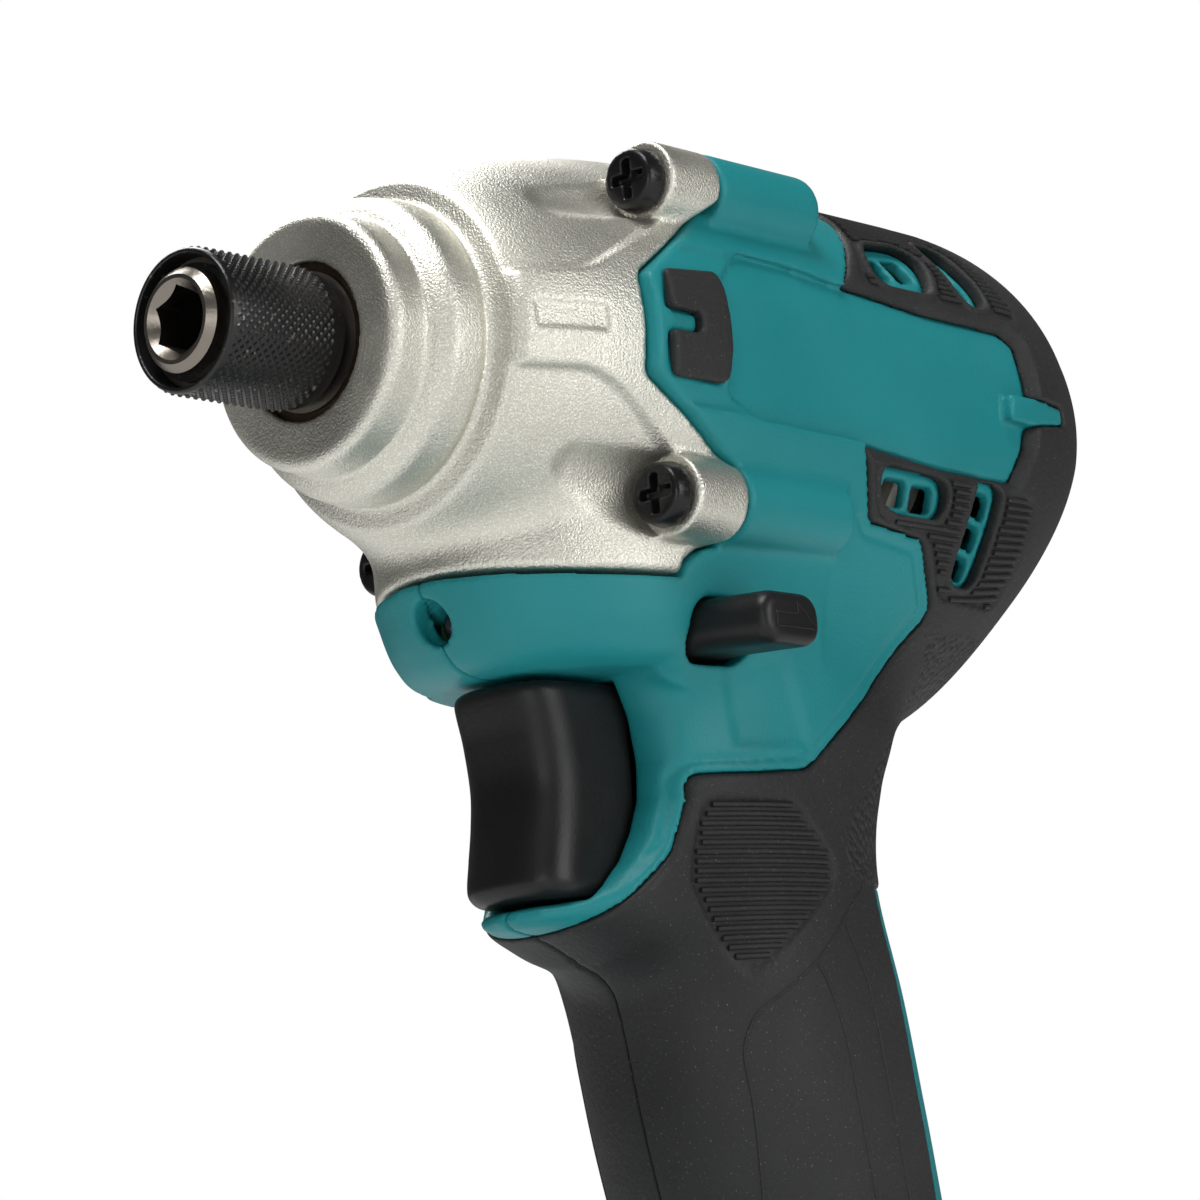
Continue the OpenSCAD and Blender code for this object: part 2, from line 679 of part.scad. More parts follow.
module case_skirt() {
    skirt_top = -shoulder_r + 4;
    difference() {
        at_nose() translate([0, 0, -skirt_z]) linear_extrude(skirt_z + skirt_top)
            polygon(chin_plan(chin_front + 0.4, chin_w - 0.2));
        along(0) cylinder(h = hammer_s - 3, r = wing_r + 1.4);
        along(hammer_s - 3.5) cylinder(h = big, r = chamber_r + 1);
    }
}

module hammer_case() {
    color(silver) difference() {
        union() {
            along(0) rotate_extrude() polygon(case_profile);
            case_band();
            case_skirt();
            difference() {
                for (y = [-boss_y, boss_y], z = [-boss_z, boss_z]) along(screw_seat) translate([z, y, 0])
                    cylinder(h = lap_s - screw_seat - 2 * fit, r = boss_r);
                along(0) cylinder(h = big, r = spigot_r + 0.8);
            }
        }
        // scoops that let the screwdriver reach the screws
        for (y = [-boss_y, boss_y], z = [-boss_z, boss_z]) along(36) translate([z, y, 0]) {
            cylinder(h = screw_seat - 36, r = boss_r - 0.3);
            cylinder(h = case_rear, r = case_screw_r + 0.4);
        }
        difference() {
            side_prism(prow, -big, big);
            along(0) cylinder(h = big, r = prow_in - play);
        }
    }
}

case_screw_r = 1.7;
case_screw_len = 10.5;
head_r = 3.65;
head_h = 2.2;
module case_screws() {
    color(dark_steel) for (y = [-boss_y, boss_y], z = [-boss_z, boss_z]) along(screw_seat)
        translate([z, y, 0]) difference() {
        union() {
            translate([0, 0, -head_h]) cylinder(h = head_h, r1 = head_r - 0.5, r2 = head_r);
            cylinder(h = case_rear - screw_seat + case_screw_len, r = case_screw_r);
        }
        for (a = [25, 115]) translate([0, 0, -head_h]) rotate(a) cube([4.4, 1, 2.4], center = true);
    }
}

module nose_bush() {
    color(brass) ring(bush_s + 0.05, bush_s + bush_len, bush_r - 0.01, journal_r + fit);
}
module thrust_washer() {
    color(steel) ring(thrust_s + 0.02, thrust_s + thrust_t, wing_r - 3.5, journal_r + 0.2);
}

// anvil: bit socket in front, two wings behind for the hammer to strike
wing_w = 10;
pilot_r = 4;
pilot_len = 8;
module anvil() {
    color(steel) along(0) difference() {
        union() {
            rotate_extrude() polygon([[0, -anvil_proud], [anvil_r - 0.8, -anvil_proud],
                [anvil_r, 0.8 - anvil_proud],
                [anvil_r, nose_s + 0.2], [journal_r, nose_s + 0.6], [journal_r, wing_s],
                    [wing_w - 0.6, wing_s],
                [wing_w - 0.6, wing_s + wing_len], [0, wing_s + wing_len]]);
            translate([0, 0, wing_s]) intersection() {
                cylinder(h = wing_len, r = wing_r);
                translate([-wing_r, -wing_w / 2, 0]) cube([2 * wing_r, wing_w, wing_len]);
            }
        }
        translate([0, 0, -anvil_proud - 1]) cylinder(h = hex_depth + 1, r = hex_r, $fn = 6);
        translate([0, 0, -anvil_proud - 0.01]) cylinder(h = 1, r1 = hex_r + 0.5, r2 = hex_r - 0.5);
        translate([0, 0, wing_s + wing_len - pilot_len]) cylinder(h = pilot_len + 1, r = pilot_r + fit);
        translate([0, 0, lock_s]) rotate([0, 90, 0])
            cylinder(h = 4 * anvil_r, r = lock_ball_r + fit, center = true);
        translate([0, 0, washer_s - ring_t]) difference() {
            cylinder(h = ring_t, r = 2 * anvil_r);
            translate([0, 0, -1]) cylinder(h = ring_t + 2, r = anvil_r - 0.5);
        }
    }
}

module bit_sleeve() {
    land = anvil_r + fit;
    cavity = sleeve_r - 1;
    color(dark_steel) along(0) rotate_extrude()
        polygon([[cavity, 0], [sleeve_r - 0.7, 0], [sleeve_r - 0.15, 0.5],
        [sleeve_r, 1.3], [sleeve_r, sleeve_len - 2.6], [sleeve_r - 0.6, sleeve_len - 2],
            [sleeve_r - 0.6, sleeve_len],
        [cavity - 0.3, sleeve_len], [cavity - 0.3, lock_s + land_len / 2], [land, lock_s + land_len / 2],
        [land, lock_s - land_len / 2], [cavity, lock_s - land_len / 2]]);
}

sleeve_turns = 3;
sleeve_coil_len = lock_s - land_len / 2 - washer_s - washer_t - 0.1;
module sleeve_spring() {
    color(steel) along(washer_s + washer_t + 0.05)
        coil(sleeve_wire, (anvil_r + sleeve_r - 1) / 2, sleeve_coil_len, sleeve_turns, 12);
}
module sleeve_washer() {
    color(steel) ring(washer_s + 0.02, washer_s + washer_t, sleeve_r - 1.1, anvil_r + fit);
}
module retaining_ring() {
    color(dark_steel) ring(washer_s - ring_t + 0.02, washer_s - 0.02, anvil_r + 0.7, anvil_r - 0.48);
}
module bit_lock_balls() {
    color(steel) along(lock_s) for (side = [-1, 1])
        translate([side * (anvil_r - lock_ball_r), 0, 0]) sphere(lock_ball_r);
}

// spindle with its planet carrier
cam_r = spindle_r + 0.8;
cam_s = hammer_s + 2.7;
module spindle() {
    color(steel) along(0) difference() {
        rotate_extrude() polygon([[0, wing_s + wing_len - pilot_len + 0.4],
            [pilot_r, wing_s + wing_len - pilot_len + 0.4],
            [pilot_r, wing_s + wing_len + 0.2], [spindle_r, wing_s + wing_len + 0.2], [spindle_r, flange_s],
            [carrier_r, flange_s], [carrier_r, carrier_end], [journal2_r + 1.2, carrier_end],
            [journal2_r + 1.2, spindle_brg_s], [journal2_r, spindle_brg_s],
            [journal2_r, spindle_brg_s + spindle_brg_w], [0, spindle_brg_s + spindle_brg_w]]);
        // slots for the planets and bore for the sun pinion
        for (side = [-1, 1]) translate([side * planet_pitch, 0, planet_s - 0.4]) {
            cylinder(h = gear_face + 0.8, r = gear_module * (planet_teeth / 2 + 0.9) + 0.5);
            translate([side > 0 ? 0 : -20, -7, 0]) cube([20, 14, gear_face + 0.8]);
            translate([0, 0, -flange_t]) cylinder(h = big, r = pin_r);
        }
        translate([0, 0, planet_s - 0.8]) cylinder(h = big, r = gear_module * (sun_teeth / 2 + 0.9) + 0.6);
        // cam grooves for the balls
        for (a = [60, 240]) rotate(a) rotate_extrude(angle = 60) translate([cam_r, cam_s])
            circle(cam_ball_r + fit);
    }
}
journal2_r = 9;

module cam_balls() {
    color(steel) along(cam_s) for (a = [90, 270]) rotate(a) translate([cam_r, 0, 0]) sphere(cam_ball_r);
}

// hammer with two jaws in front, a spring pocket behind and cam slots in its bore
pocket_in = 11.6;
pocket_out = 17.9;
hub_len = 9;
jaw_start = 32;
jaw_sweep = 40;
module hammer() {
    color(dark_steel) along(0) difference() {
        union() {
            rotate_extrude() polygon([[spindle_r + fit, hammer_s], [hammer_r - 1, hammer_s],
                [hammer_r, hammer_s + 1],
                [hammer_r, hammer_s + hammer_len], [pocket_out, hammer_s + hammer_len],
                    [pocket_out, pocket_s],
                [pocket_in, pocket_s], [pocket_in, hammer_s + hub_len],
                    [spindle_r + fit, hammer_s + hub_len]]);
            for (a = [0, 180]) rotate(jaw_start + a) rotate_extrude(angle = jaw_sweep)
                translate([cam_r + cam_ball_r + 0.3, hammer_s - jaw_len])
                    square([wing_r - cam_r - cam_ball_r, jaw_len + 1]);
        }
        for (a = [90, 270]) rotate(a) translate([cam_r, 0, 0]) {
            translate([0, 0, hammer_s - 1]) cylinder(h = cam_s - hammer_s + 1, r = cam_ball_r + play);
            translate([0, 0, cam_s]) sphere(cam_ball_r + play);
        }
    }
}

hammer_turns = 3.25;
hammer_coil_len = flange_s - washer2_t - pocket_s - 0.2;
module hammer_spring() {
    color(steel) along(pocket_s + 0.1) coil(hammer_wire, hammer_coil_r, hammer_coil_len, hammer_turns, 12);
}
module spring_washer() {
    color(steel) ring(flange_s - washer2_t, flange_s - 0.02, carrier_r - 0.2, pocket_in + 0.6);
}

module planet_pins() {
    color(steel) along(flange_s + 0.6) for (side = [-1, 1]) translate([side * planet_pitch, 0, 0])
        cylinder(h = carrier_end - flange_s - 0.8, r = pin_r - 0.005);
}
module planet(side) {
    color(dark_steel) along(planet_s) translate([side * planet_pitch, 0, 0])
        linear_extrude(gear_face) difference() {
        spur(planet_teeth);
        circle(pin_r + fit);
    }
}
module planet_gear_upper() { planet(1); }
module planet_gear_lower() { planet(-1); }

module ring_gear() {
    ring_pitch = gear_module * ring_teeth / 2;
    ring_front = case_rear - spigot_len;
    tooth_s = planet_s - 0.5 - ring_front;
    color(steel) along(ring_front) difference() {
        cylinder(h = tooth_s + gear_face + 1, r = spigot_r);
        translate([0, 0, -1]) cylinder(h = tooth_s + 1, r = ring_pitch + 1.6 * gear_module);
        translate([0, 0, tooth_s - 0.2]) linear_extrude(gear_face + 3)
            involute(ring_teeth, ring_pitch + 1.2 * gear_module, ring_pitch - 0.85 * gear_module,
                PI * gear_module / 2 + backlash);
    }
}

// cup behind the hammer case that holds the ring gear and two bearings
spindle_brg_r = 14.5;
module gear_case() {
    cup_end = planet_s + gear_face + 0.6;
    color(black) along(0) rotate_extrude()
        polygon([[spigot_r + 0.02, case_rear + 0.05], [gear_case_r, case_rear + 0.05],
        [gear_case_r, cup_end + 4], [spindle_brg_r + 3, spindle_brg_s + spindle_brg_w + 0.6],
        [motor_brg_r + 2.4, gear_case_end - 2], [motor_brg_r + 2.4, gear_case_end],
        [motor_brg_r, gear_case_end], [motor_brg_r, motor_brg_s], [shaft_r + 2.5, motor_brg_s],
        [shaft_r + 2.5, motor_brg_s - 0.8], [spindle_brg_r, spindle_brg_s + spindle_brg_w + 0.05],
        [spindle_brg_r, carrier_end + 0.4], [carrier_r + 0.5, carrier_end + 0.4],
            [carrier_r + 0.5, cup_end],
        [spigot_r + 0.02, cup_end]]);
}

module ball_bearing(s, w, ro, ri) {
    mid = (ro + ri) / 2;
    color(steel) along(s) difference() {
        cylinder(h = w, r = ro);
        translate([0, 0, -1]) cylinder(h = w + 2, r = ri);
        for (z = [-0.4, w - 0.5]) translate([0, 0, z]) difference() {
            cylinder(h = 0.9, r = mid + 1);
            translate([0, 0, -1]) cylinder(h = 3, r = mid - 1);
        }
    }
}
module spindle_bearing() {
    ball_bearing(spindle_brg_s + 0.05, spindle_brg_w - 0.1, spindle_brg_r - 0.01, journal2_r + fit);
}
module motor_bearing_front() {
    ball_bearing(motor_brg_s + 0.05, motor_brg_w - 0.1, motor_brg_r - 0.01, shaft_r + fit);
}
module motor_bearing_rear() {
    ball_bearing(rear_brg_s, motor_brg_w, motor_brg_r - 0.01, shaft_r + fit);
}

pinion_s = planet_s - 0.3;
pinion_len = gear_face + 2;
module rotor_shaft() {
    color(steel) along(pinion_s) cylinder(h = rear_brg_s + motor_brg_w + 0.6 - pinion_s, r = shaft_r);
}
module sun_pinion() {
    color(dark_steel) along(pinion_s) linear_extrude(pinion_len) difference() {
        spur(sun_teeth);
        circle(shaft_r + 0.005);
    }
}
magnet_t = 1.6;
module rotor_core() {
    color(dark_steel) ring(stack_s, stack_s + stack_len, rotor_r - magnet_t, shaft_r + 0.005);
}
module rotor_magnets() {
    color(steel) along(stack_s) for (a = [0, 90, 180, 270]) rotate(a + 6) rotate_extrude(angle = 78)
        translate([rotor_r - magnet_t + 0.02, 0]) square([magnet_t, stack_len]);
}
blade_count = 12;
module fan() {
    color(black) along(fan_s) difference() {
        union() {
            cylinder(h = 1.2, r = fan_r);
            cylinder(h = fan_len, r = 7);
            for (i = [0 : blade_count - 1]) rotate(i * 360 / blade_count)
                translate([fan_r - 8.5, -0.5, 0]) cube([8, 1, fan_len]);
        }
        translate([0, 0, -1]) cylinder(h = big, r = shaft_r + 0.005);
    }
}

tooth_count = 6;
yoke_t = 3.4;
module stator_core() {
    bore = rotor_r + 0.6;
    color(dark_steel) along(stack_s) linear_extrude(stack_len) difference() {
        union() {
            difference() {
                circle(stator_r);
                circle(stator_r - yoke_t);
            }
            for (i = [0 : tooth_count - 1]) rotate(i * 360 / tooth_count + 30) {
                translate([bore, -2.4]) square([stator_r - bore - yoke_t / 2, 4.8]);
                translate([bore - 0.8, -5]) square([2, 10]);
            }
        }
        circle(bore);
    }
}
module stator_coils() {
    bore = rotor_r + 2;
    depth = stator_r - yoke_t - bore - 0.9;
    color(copper) along(stack_s) for (i = [0 : tooth_count - 1])
        rotate(i * 360 / tooth_count + 30) difference() {
        translate([bore, -4.8, -coil_len + 0.8]) cube([depth, 9.6, stack_len + 2 * coil_len - 1.6]);
        translate([bore - 1, -2.6, -0.2]) cube([depth + 2, 5.2, stack_len + 0.4]);
    }
}
module stator_insulators() {
    for (s = [stack_s - coil_len, stack_s + stack_len + 0.05])
        color("ivory") ring(s, s + coil_len - 0.05, stator_r - 0.6, stator_r - yoke_t + 0.1);
}
module hall_board() { color(board_green) ring(hall_s, hall_s + 1.4, stator_r - 0.8, shaft_r + 4); }

// trigger with a hollow front and a rounded face
trigger_rear = switch_s - trigger_travel - 0.5;
hollow = 1.6;
plunger_s = switch_s + 10;
module trigger() {
    z0 = -trigger_top;
    z1 = -trigger_top - trigger_h;
    face = [for (i = [0 : 10]) [trigger_s + hollow * sin(18 * i), z0 - 1.2 - (trigger_h - 3.2) * i / 10]];
    color(black) difference() {
        union() {
            intersection() {
                side_prism(concat([[trigger_rear, z0], [trigger_s + 1.2, z0]], face,
                    [[trigger_s + 2.2, z1], [trigger_rear, z1]]), -trigger_w, trigger_w);
                at_nose() translate([0, 0, -big]) linear_extrude(2 * big) {
                    translate([-trigger_rear, -trigger_w / 2])
                        square([trigger_rear - trigger_s - trigger_w / 2, trigger_w]);
                    translate([-trigger_s - trigger_w / 2, 0]) circle(trigger_w / 2);
                }
            }
            along(trigger_rear - 9) translate([-trigger_top - trigger_h / 2, 0, 0])
                cylinder(h = plunger_s - trigger_rear + 9, r = 1.8);
        }
        along(trigger_rear - 8) translate([-trigger_top - trigger_h / 2, 0, 0]) difference() {
            cylinder(h = 9, r = 4.4);
            cylinder(h = 9, r = 1.8);
        }
    }
}
module trigger_spring() {
    color(steel) along(trigger_rear - 7.9) translate([-trigger_top - trigger_h / 2, 0, 0])
        coil(0.8, 3.2, switch_s - trigger_rear + 7.8, 4);
}
module switch_body() {
    color(dark_steel) difference() {
        at_nose() translate([-switch_s - switch_len, -switch_w / 2, switch_top - switch_h])
            cube([switch_len, switch_w, switch_h]);
        along(switch_s - 1) translate([-trigger_top - trigger_h / 2, 0, 0])
            cylinder(h = plunger_s - switch_s + trigger_travel + 2, r = 1.8 + play);
    }
}

lever_out = 9.4;
lever_root = 19.4;
module reverse_lever() {
    y0 = lever_out - lever_throw - lever_root;
    color(black) at_nose() translate([-lever_s, lever_root + lever_out, lever_z]) rotate([90, 0, 0])
        linear_extrude(lever_root + lever_out - y0) {
            square([lever_len - 4, lever_h], center = true);
            square([lever_len, lever_h - 4], center = true);
            for (u = [-1, 1], v = [-1, 1])
                translate([u * (lever_len / 2 - 2), v * (lever_h / 2 - 2)]) circle(2);
        }
}

module led_lens() {
    color("white") along(led_s) translate([led_z, 0, 0]) {
        translate([0, 0, 1.5]) cylinder(h = 4.6, r = led_r);
        translate([0, 0, 1.6]) sphere(led_r - 0.3);
    }
}
module led_board() {
    color(board_green) at_nose() translate([-led_s - 7.4, -4, led_z - 2.2]) cube([1.2, 8, 3.8]);
}

foot_floor = 3.4;
control_z = foot_z + rail_h + foot_floor + 0.1;
module control_unit() { color(black) translate([-27, -22, control_z]) cube([41, 44, 4]); }

// blades of the foot that reach into the battery's slots
blade_y = 14;
blade_t = 0.8;
module terminal_block() {
    color(black) translate([block_x, -rail_w / 2 + 4, foot_z + 0.6])
        cube([block_len, rail_w - 8, rail_h - 0.5]);
    color(brass) for (side = [-1, 1])
        translate([block_x + block_len - 1, side * blade_y - blade_t / 2, foot_z + 2]) cube([15, blade_t, 5]);
}

module round_rect(l, w, r) {
    square([l - 2 * r, w], center = true);
    square([l, w - 2 * r], center = true);
    for (u = [-1, 1], v = [-1, 1]) translate([u * (l / 2 - r), v * (w / 2 - r)]) circle(r);
}

pack_wall = 2.5;
pack_corner = 9;
split_z = pack_h / 2;
pack_screw_x = pack_len / 2 - 4.6;
pack_screw_y = pack_w / 2 - 6;
rail_front = pack_len / 2 - 10;
button_w = 30;
button_d = 8;
button_face = 1.8;
button_z = pack_h - 11.6;
button_h = pack_h - 0.4 - button_z;
contact_x = rail_rear + 2;

module pack_bosses(z0, z1) {
    for (u = [-1, 1], v = [-1, 1]) translate([u * pack_screw_x, v * pack_screw_y, z0])
        cylinder(h = z1 - z0, r = 3.4);
}

module battery_case_lower() {
    color(black) difference() {
        union() {
            difference() {
                union() {
                    translate([0, 0, 2]) linear_extrude(split_z - 2)
                        round_rect(pack_len, pack_w, pack_corner);
                    linear_extrude(2.1) round_rect(pack_len - 3, pack_w - 3, pack_corner - 1.5);
                }
                translate([0, 0, pack_wall]) linear_extrude(split_z)
                    round_rect(pack_len - 2 * pack_wall, pack_w - 2 * pack_wall, pack_corner - pack_wall);
            }
            pack_bosses(0.5, split_z);
        }
        for (u = [-1, 1], v = [-1, 1]) translate([u * pack_screw_x, v * pack_screw_y, 0]) {
            translate([0, 0, -1]) cylinder(h = 4, r = 2.9);
            cylinder(h = big, r = 1.7);
        }
    }
}

module battery_case_upper() {
    slot_x = rail_rear - 1;
    color(black) difference() {
        union() {
            difference() {
                translate([0, 0, split_z + 0.02]) linear_extrude(pack_h - split_z - 0.02)
                    round_rect(pack_len, pack_w, pack_corner);
                translate([0, 0, split_z - 1]) linear_extrude(pack_h - split_z - pack_wall + 1)
                    round_rect(pack_len - 2 * pack_wall, pack_w - 2 * pack_wall, pack_corner - pack_wall);
            }
            // rails that hook into the foot
            translate([rail_rear, -rail_w / 2 + 3, pack_h - 1])
                cube([rail_front - rail_rear, rail_w - 6, rail_h + 1]);
            translate([rail_rear, -rail_w / 2, pack_h + 3 + 2 * play])
                cube([rail_front - rail_rear, rail_w, rail_h - 3 - 2 * play]);
            pack_bosses(split_z + 0.02, pack_h - 1);
            // walls round the release button
            translate([pack_len / 2 - button_d - 3, -button_w / 2 - 3, spring_seat - 1.5])
                cube([button_d + 2, button_w + 6, pack_h - spring_seat + 0.5]);
        }
        for (u = [-1, 1], v = [-1, 1]) translate([u * pack_screw_x, v * pack_screw_y, 0])
            cylinder(h = split_z + 10, r = 1.45);
        // recess for the release button
        translate([pack_len / 2 - button_d - play, -button_w / 2 - play, spring_seat])
            cube([button_d - button_face + 2 * play, button_w + 2 * play, big]);
        translate([pack_len / 2 - button_face - play, -button_w / 2 - play, button_z])
            cube([big, button_w + 2 * play, big]);
        // slots for the foot's blades and the clips that grip them
        for (side = [-1, 1]) translate([slot_x, side * blade_y - 2, pack_h - pack_wall - 1])
            cube([22, 4, rail_h + pack_wall + 2]);
    }
}

cell_count = 5;
cell_len = pack_w - 2 * pack_wall - 4.8;
cell_pitch = 2 * cell_r + 0.3;
cell_z = pack_wall + 11.2;
module battery_cells() {
    color("#3f6f9a") for (i = [0 : cell_count - 1])
        translate([(i - (cell_count - 1) / 2) * cell_pitch, 0, cell_z])
        rotate([90, 0, 0]) cylinder(h = cell_len, r = cell_r, center = true);
}
module cell_holder() {
    holder_t = 6;
    holder_y = cell_len / 2 - holder_t / 2 - 1;
    color(black) for (side = [-1, 1]) translate([0, side * holder_y, cell_z]) difference() {
        cube([cell_count * cell_pitch + 0.6, holder_t, 2 * cell_r + 3.4], center = true);
        for (i = [0 : cell_count - 1]) translate([(i - (cell_count - 1) / 2) * cell_pitch, 0, 0])
            rotate([90, 0, 0])
            cylinder(h = holder_t + 2, r = cell_r + fit, center = true);
    }
}
board_z = cell_z + cell_r + 2;
module battery_board() { color(board_green) translate([-40, -31, board_z]) cube([76, 62, 1.6]); }
module battery_contacts() {
    color(brass) for (side = [-1, 1]) translate([contact_x, side * blade_y, board_z + 1.65]) {
        translate([0, -1.4, 0]) cube([10, 2.8, 0.8]);
        for (v = [-1, 1]) translate([0, v * 1.05 - 0.35, 0])
            cube([10, 0.7, foot_z + rail_h - 2.5 - board_z]);
    }
}

button_spring_r = 2;
button_x = pack_len / 2 - button_d / 2 - button_face / 2;
face_z = button_z + button_travel + play;
spring_seat = button_z - button_travel - play;
module battery_button() {
    color(black) difference() {
        union() {
            translate([button_x - button_d / 2 + button_face / 2, -button_w / 2, button_z])
                cube([button_d - button_face, button_w, button_h]);
            translate([pack_len / 2 - button_face - 0.1, -button_w / 2, face_z])
                cube([button_face + 0.1, button_w, button_z + button_h - face_z]);
            for (i = [0 : 2]) translate([pack_len / 2 - 1, -button_w / 2 + 3, face_z + 1 + 2 * i])
                cube([1.6, button_w - 6, 0.9]);
        }
        translate([button_x, 0, button_z - 1]) cylinder(h = 5, r = button_spring_r + 0.6);
    }
}
module button_spring() {
    color(steel) translate([button_x, 0, spring_seat + 0.05])
        coil(0.6, button_spring_r, button_z + 3.9 - spring_seat, 4);
}
module battery_screws() {
    color(dark_steel) for (u = [-1, 1], v = [-1, 1]) translate([u * pack_screw_x, v * pack_screw_y, 0]) {
        translate([0, 0, 1]) cylinder(h = 1.9, r = 2.7);
        translate([0, 0, 2.8]) cylinder(h = split_z + 6, r = 1.4);
    }
}

echo(sleeve_spring_gap = coil_gap(sleeve_wire, sleeve_coil_len, sleeve_turns));
echo(hammer_spring_gap = coil_gap(hammer_wire, hammer_coil_len, hammer_turns));
echo(trigger_spring_gap = coil_gap(0.8, switch_s - trigger_rear + 7.8, 4));
echo(button_spring_gap = coil_gap(0.6, button_z + 3.9 - spring_seat, 4));

housing_left();
housing_right();
overmould_left();
overmould_right();
side_pads();
housing_screws();
hook_nuts();
hammer_case();
case_screws();
nose_bush();
thrust_washer();
anvil();
bit_sleeve();
sleeve_spring();
sleeve_washer();
retaining_ring();
bit_lock_balls();
spindle();
cam_balls();
hammer();
hammer_spring();
spring_washer();
planet_pins();
planet_gear_upper();
planet_gear_lower();
ring_gear();
gear_case();
spindle_bearing();
motor_bearing_front();
motor_bearing_rear();
rotor_shaft();
sun_pinion();
rotor_core();
rotor_magnets();
fan();
stator_core();
stator_coils();
stator_insulators();
hall_board();
trigger();
trigger_spring();
switch_body();
reverse_lever();
led_lens();
led_board();
control_unit();
terminal_block();
battery_case_upper();
battery_case_lower();
battery_cells();
cell_holder();
battery_board();
battery_contacts();
battery_button();
button_spring();
battery_screws();
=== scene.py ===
"""Cordless impact driver: shell, hammer case, bit chuck and battery, dressed over the CAD frame."""
import json
import math
from functools import reduce
from itertools import product

import bpy
import numpy as np
from mathutils import Matrix, Vector


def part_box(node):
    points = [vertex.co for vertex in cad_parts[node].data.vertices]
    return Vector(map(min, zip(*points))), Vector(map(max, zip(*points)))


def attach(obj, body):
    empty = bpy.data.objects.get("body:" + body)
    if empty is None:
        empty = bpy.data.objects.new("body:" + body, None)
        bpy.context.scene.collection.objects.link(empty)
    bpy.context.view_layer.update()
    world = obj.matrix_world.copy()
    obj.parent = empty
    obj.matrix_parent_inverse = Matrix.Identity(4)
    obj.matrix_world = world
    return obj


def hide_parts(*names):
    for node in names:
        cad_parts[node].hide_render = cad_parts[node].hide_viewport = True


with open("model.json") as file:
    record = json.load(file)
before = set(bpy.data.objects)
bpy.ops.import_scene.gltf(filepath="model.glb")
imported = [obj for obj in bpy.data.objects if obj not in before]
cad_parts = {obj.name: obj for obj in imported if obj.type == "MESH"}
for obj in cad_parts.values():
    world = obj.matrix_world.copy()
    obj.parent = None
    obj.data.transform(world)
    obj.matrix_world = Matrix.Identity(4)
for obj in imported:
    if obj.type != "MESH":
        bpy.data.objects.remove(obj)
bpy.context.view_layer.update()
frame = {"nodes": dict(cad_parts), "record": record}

bl_info = {
    "name": "Impact Driver Dressing",
    "version": (1, 0, 0),
    "blender": (4, 5, 0),
    "location": "View3D > Sidebar > Impact Driver",
    "description": "Dresses the CAD frame of a cordless impact driver with moulded, cast and knurled pieces",
    "category": "Object",
}

RIM_LOW, RIM_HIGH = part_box("bit_sleeve")
NOSE = Vector((RIM_HIGH[0], 0.0, (RIM_LOW[2] + RIM_HIGH[2]) / 2))
MM = 0.001
CORNERS = list(product((0, 1), repeat=3))


# Fields: every solid below is a signed distance in mm in the spindle's frame.
# s runs backwards from the sleeve's front rim, y to the left and z up.

class Points:
    """Loose points for sampling a field."""

    def __init__(self, s, y, z):
        self.s, self.y, self.z = (np.asarray(v, dtype=np.float64) for v in (s, y, z))

    @property
    def r(self):
        """Distance from the spindle."""
        return np.sqrt(self.y ** 2 + self.z ** 2)


class Space(Points):
    """A grid of sample points: s, y and z arrays that broadcast together, and the axes -s, y and z."""

    def __init__(self, s, y, z, step, coarse_below=None):
        """Ranges of s, y and z at an even step, or at twice the step in height below coarse_below."""
        self.step = step
        rows = np.arange(z[0], z[1] + step, step)
        if coarse_below is not None:
            fine = np.arange(coarse_below, z[1] + step, step)
            rows = np.concatenate((np.arange(z[0], coarse_below, 2 * step), fine))
        self.axes = [np.arange(-s[1], -s[0] + step, step), np.arange(y[0], y[1] + step, step), rows]
        x, self.y, self.z = (a.astype(np.float32).reshape([-1 if i == k else 1 for i in range(3)])
                             for k, a in enumerate(self.axes))
        self.s = -x


def glide(at, xs, ys):
    """Smooth curve through the stations xs with values ys, held level past both ends."""
    xs, ys = np.asarray(xs, float), np.asarray(ys, float)
    slope = np.diff(ys) / np.diff(xs)
    lean = np.zeros_like(ys)
    same = slope[:-1] * slope[1:] > 0
    safe = np.where(same, slope[:-1] + slope[1:], 1.0)
    lean[1:-1] = np.where(same, 2 * slope[:-1] * slope[1:] / safe, 0.0)
    at = np.clip(at, xs[0], xs[-1])
    i = np.clip(np.searchsorted(xs, at) - 1, 0, len(xs) - 2)
    width = (xs[1:] - xs[:-1])[i]
    t = (at - xs[i]) / width
    a, b, la, lb = ys[i], ys[i + 1], lean[i] * width, lean[i + 1] * width
    out = a * (1 + 2 * t) * (1 - t) ** 2 + la * t * (1 - t) ** 2
    out = out + b * t * t * (3 - 2 * t) + lb * t * t * (t - 1)
    return out.astype(np.asarray(at).dtype)


def blend(a, b, k):
    """Union of two fields with a fillet of about k mm."""
    h = np.clip(0.5 + 0.5 * (b - a) / k, 0, 1)
    return b + (a - b) * h - k * h * (1 - h)


def meet(a, b, k):
    """Intersection with edges rounded by about k mm."""
    return -blend(-a, -b, k)


def carve(a, b, k):
    """a with b taken away, edges rounded by about k mm."""
    return -blend(-a, b, k)


def cut_out(a, *others):
    """a with the others taken away, edges left sharp."""
    return reduce(lambda rest, b: np.maximum(rest, -b), others, a)


def step_up(d, width):
    """1 inside a zone's field d, 0 outside, smooth over width."""
    t = np.clip(0.5 - d / width, 0, 1)
    return t * t * (3 - 2 * t)


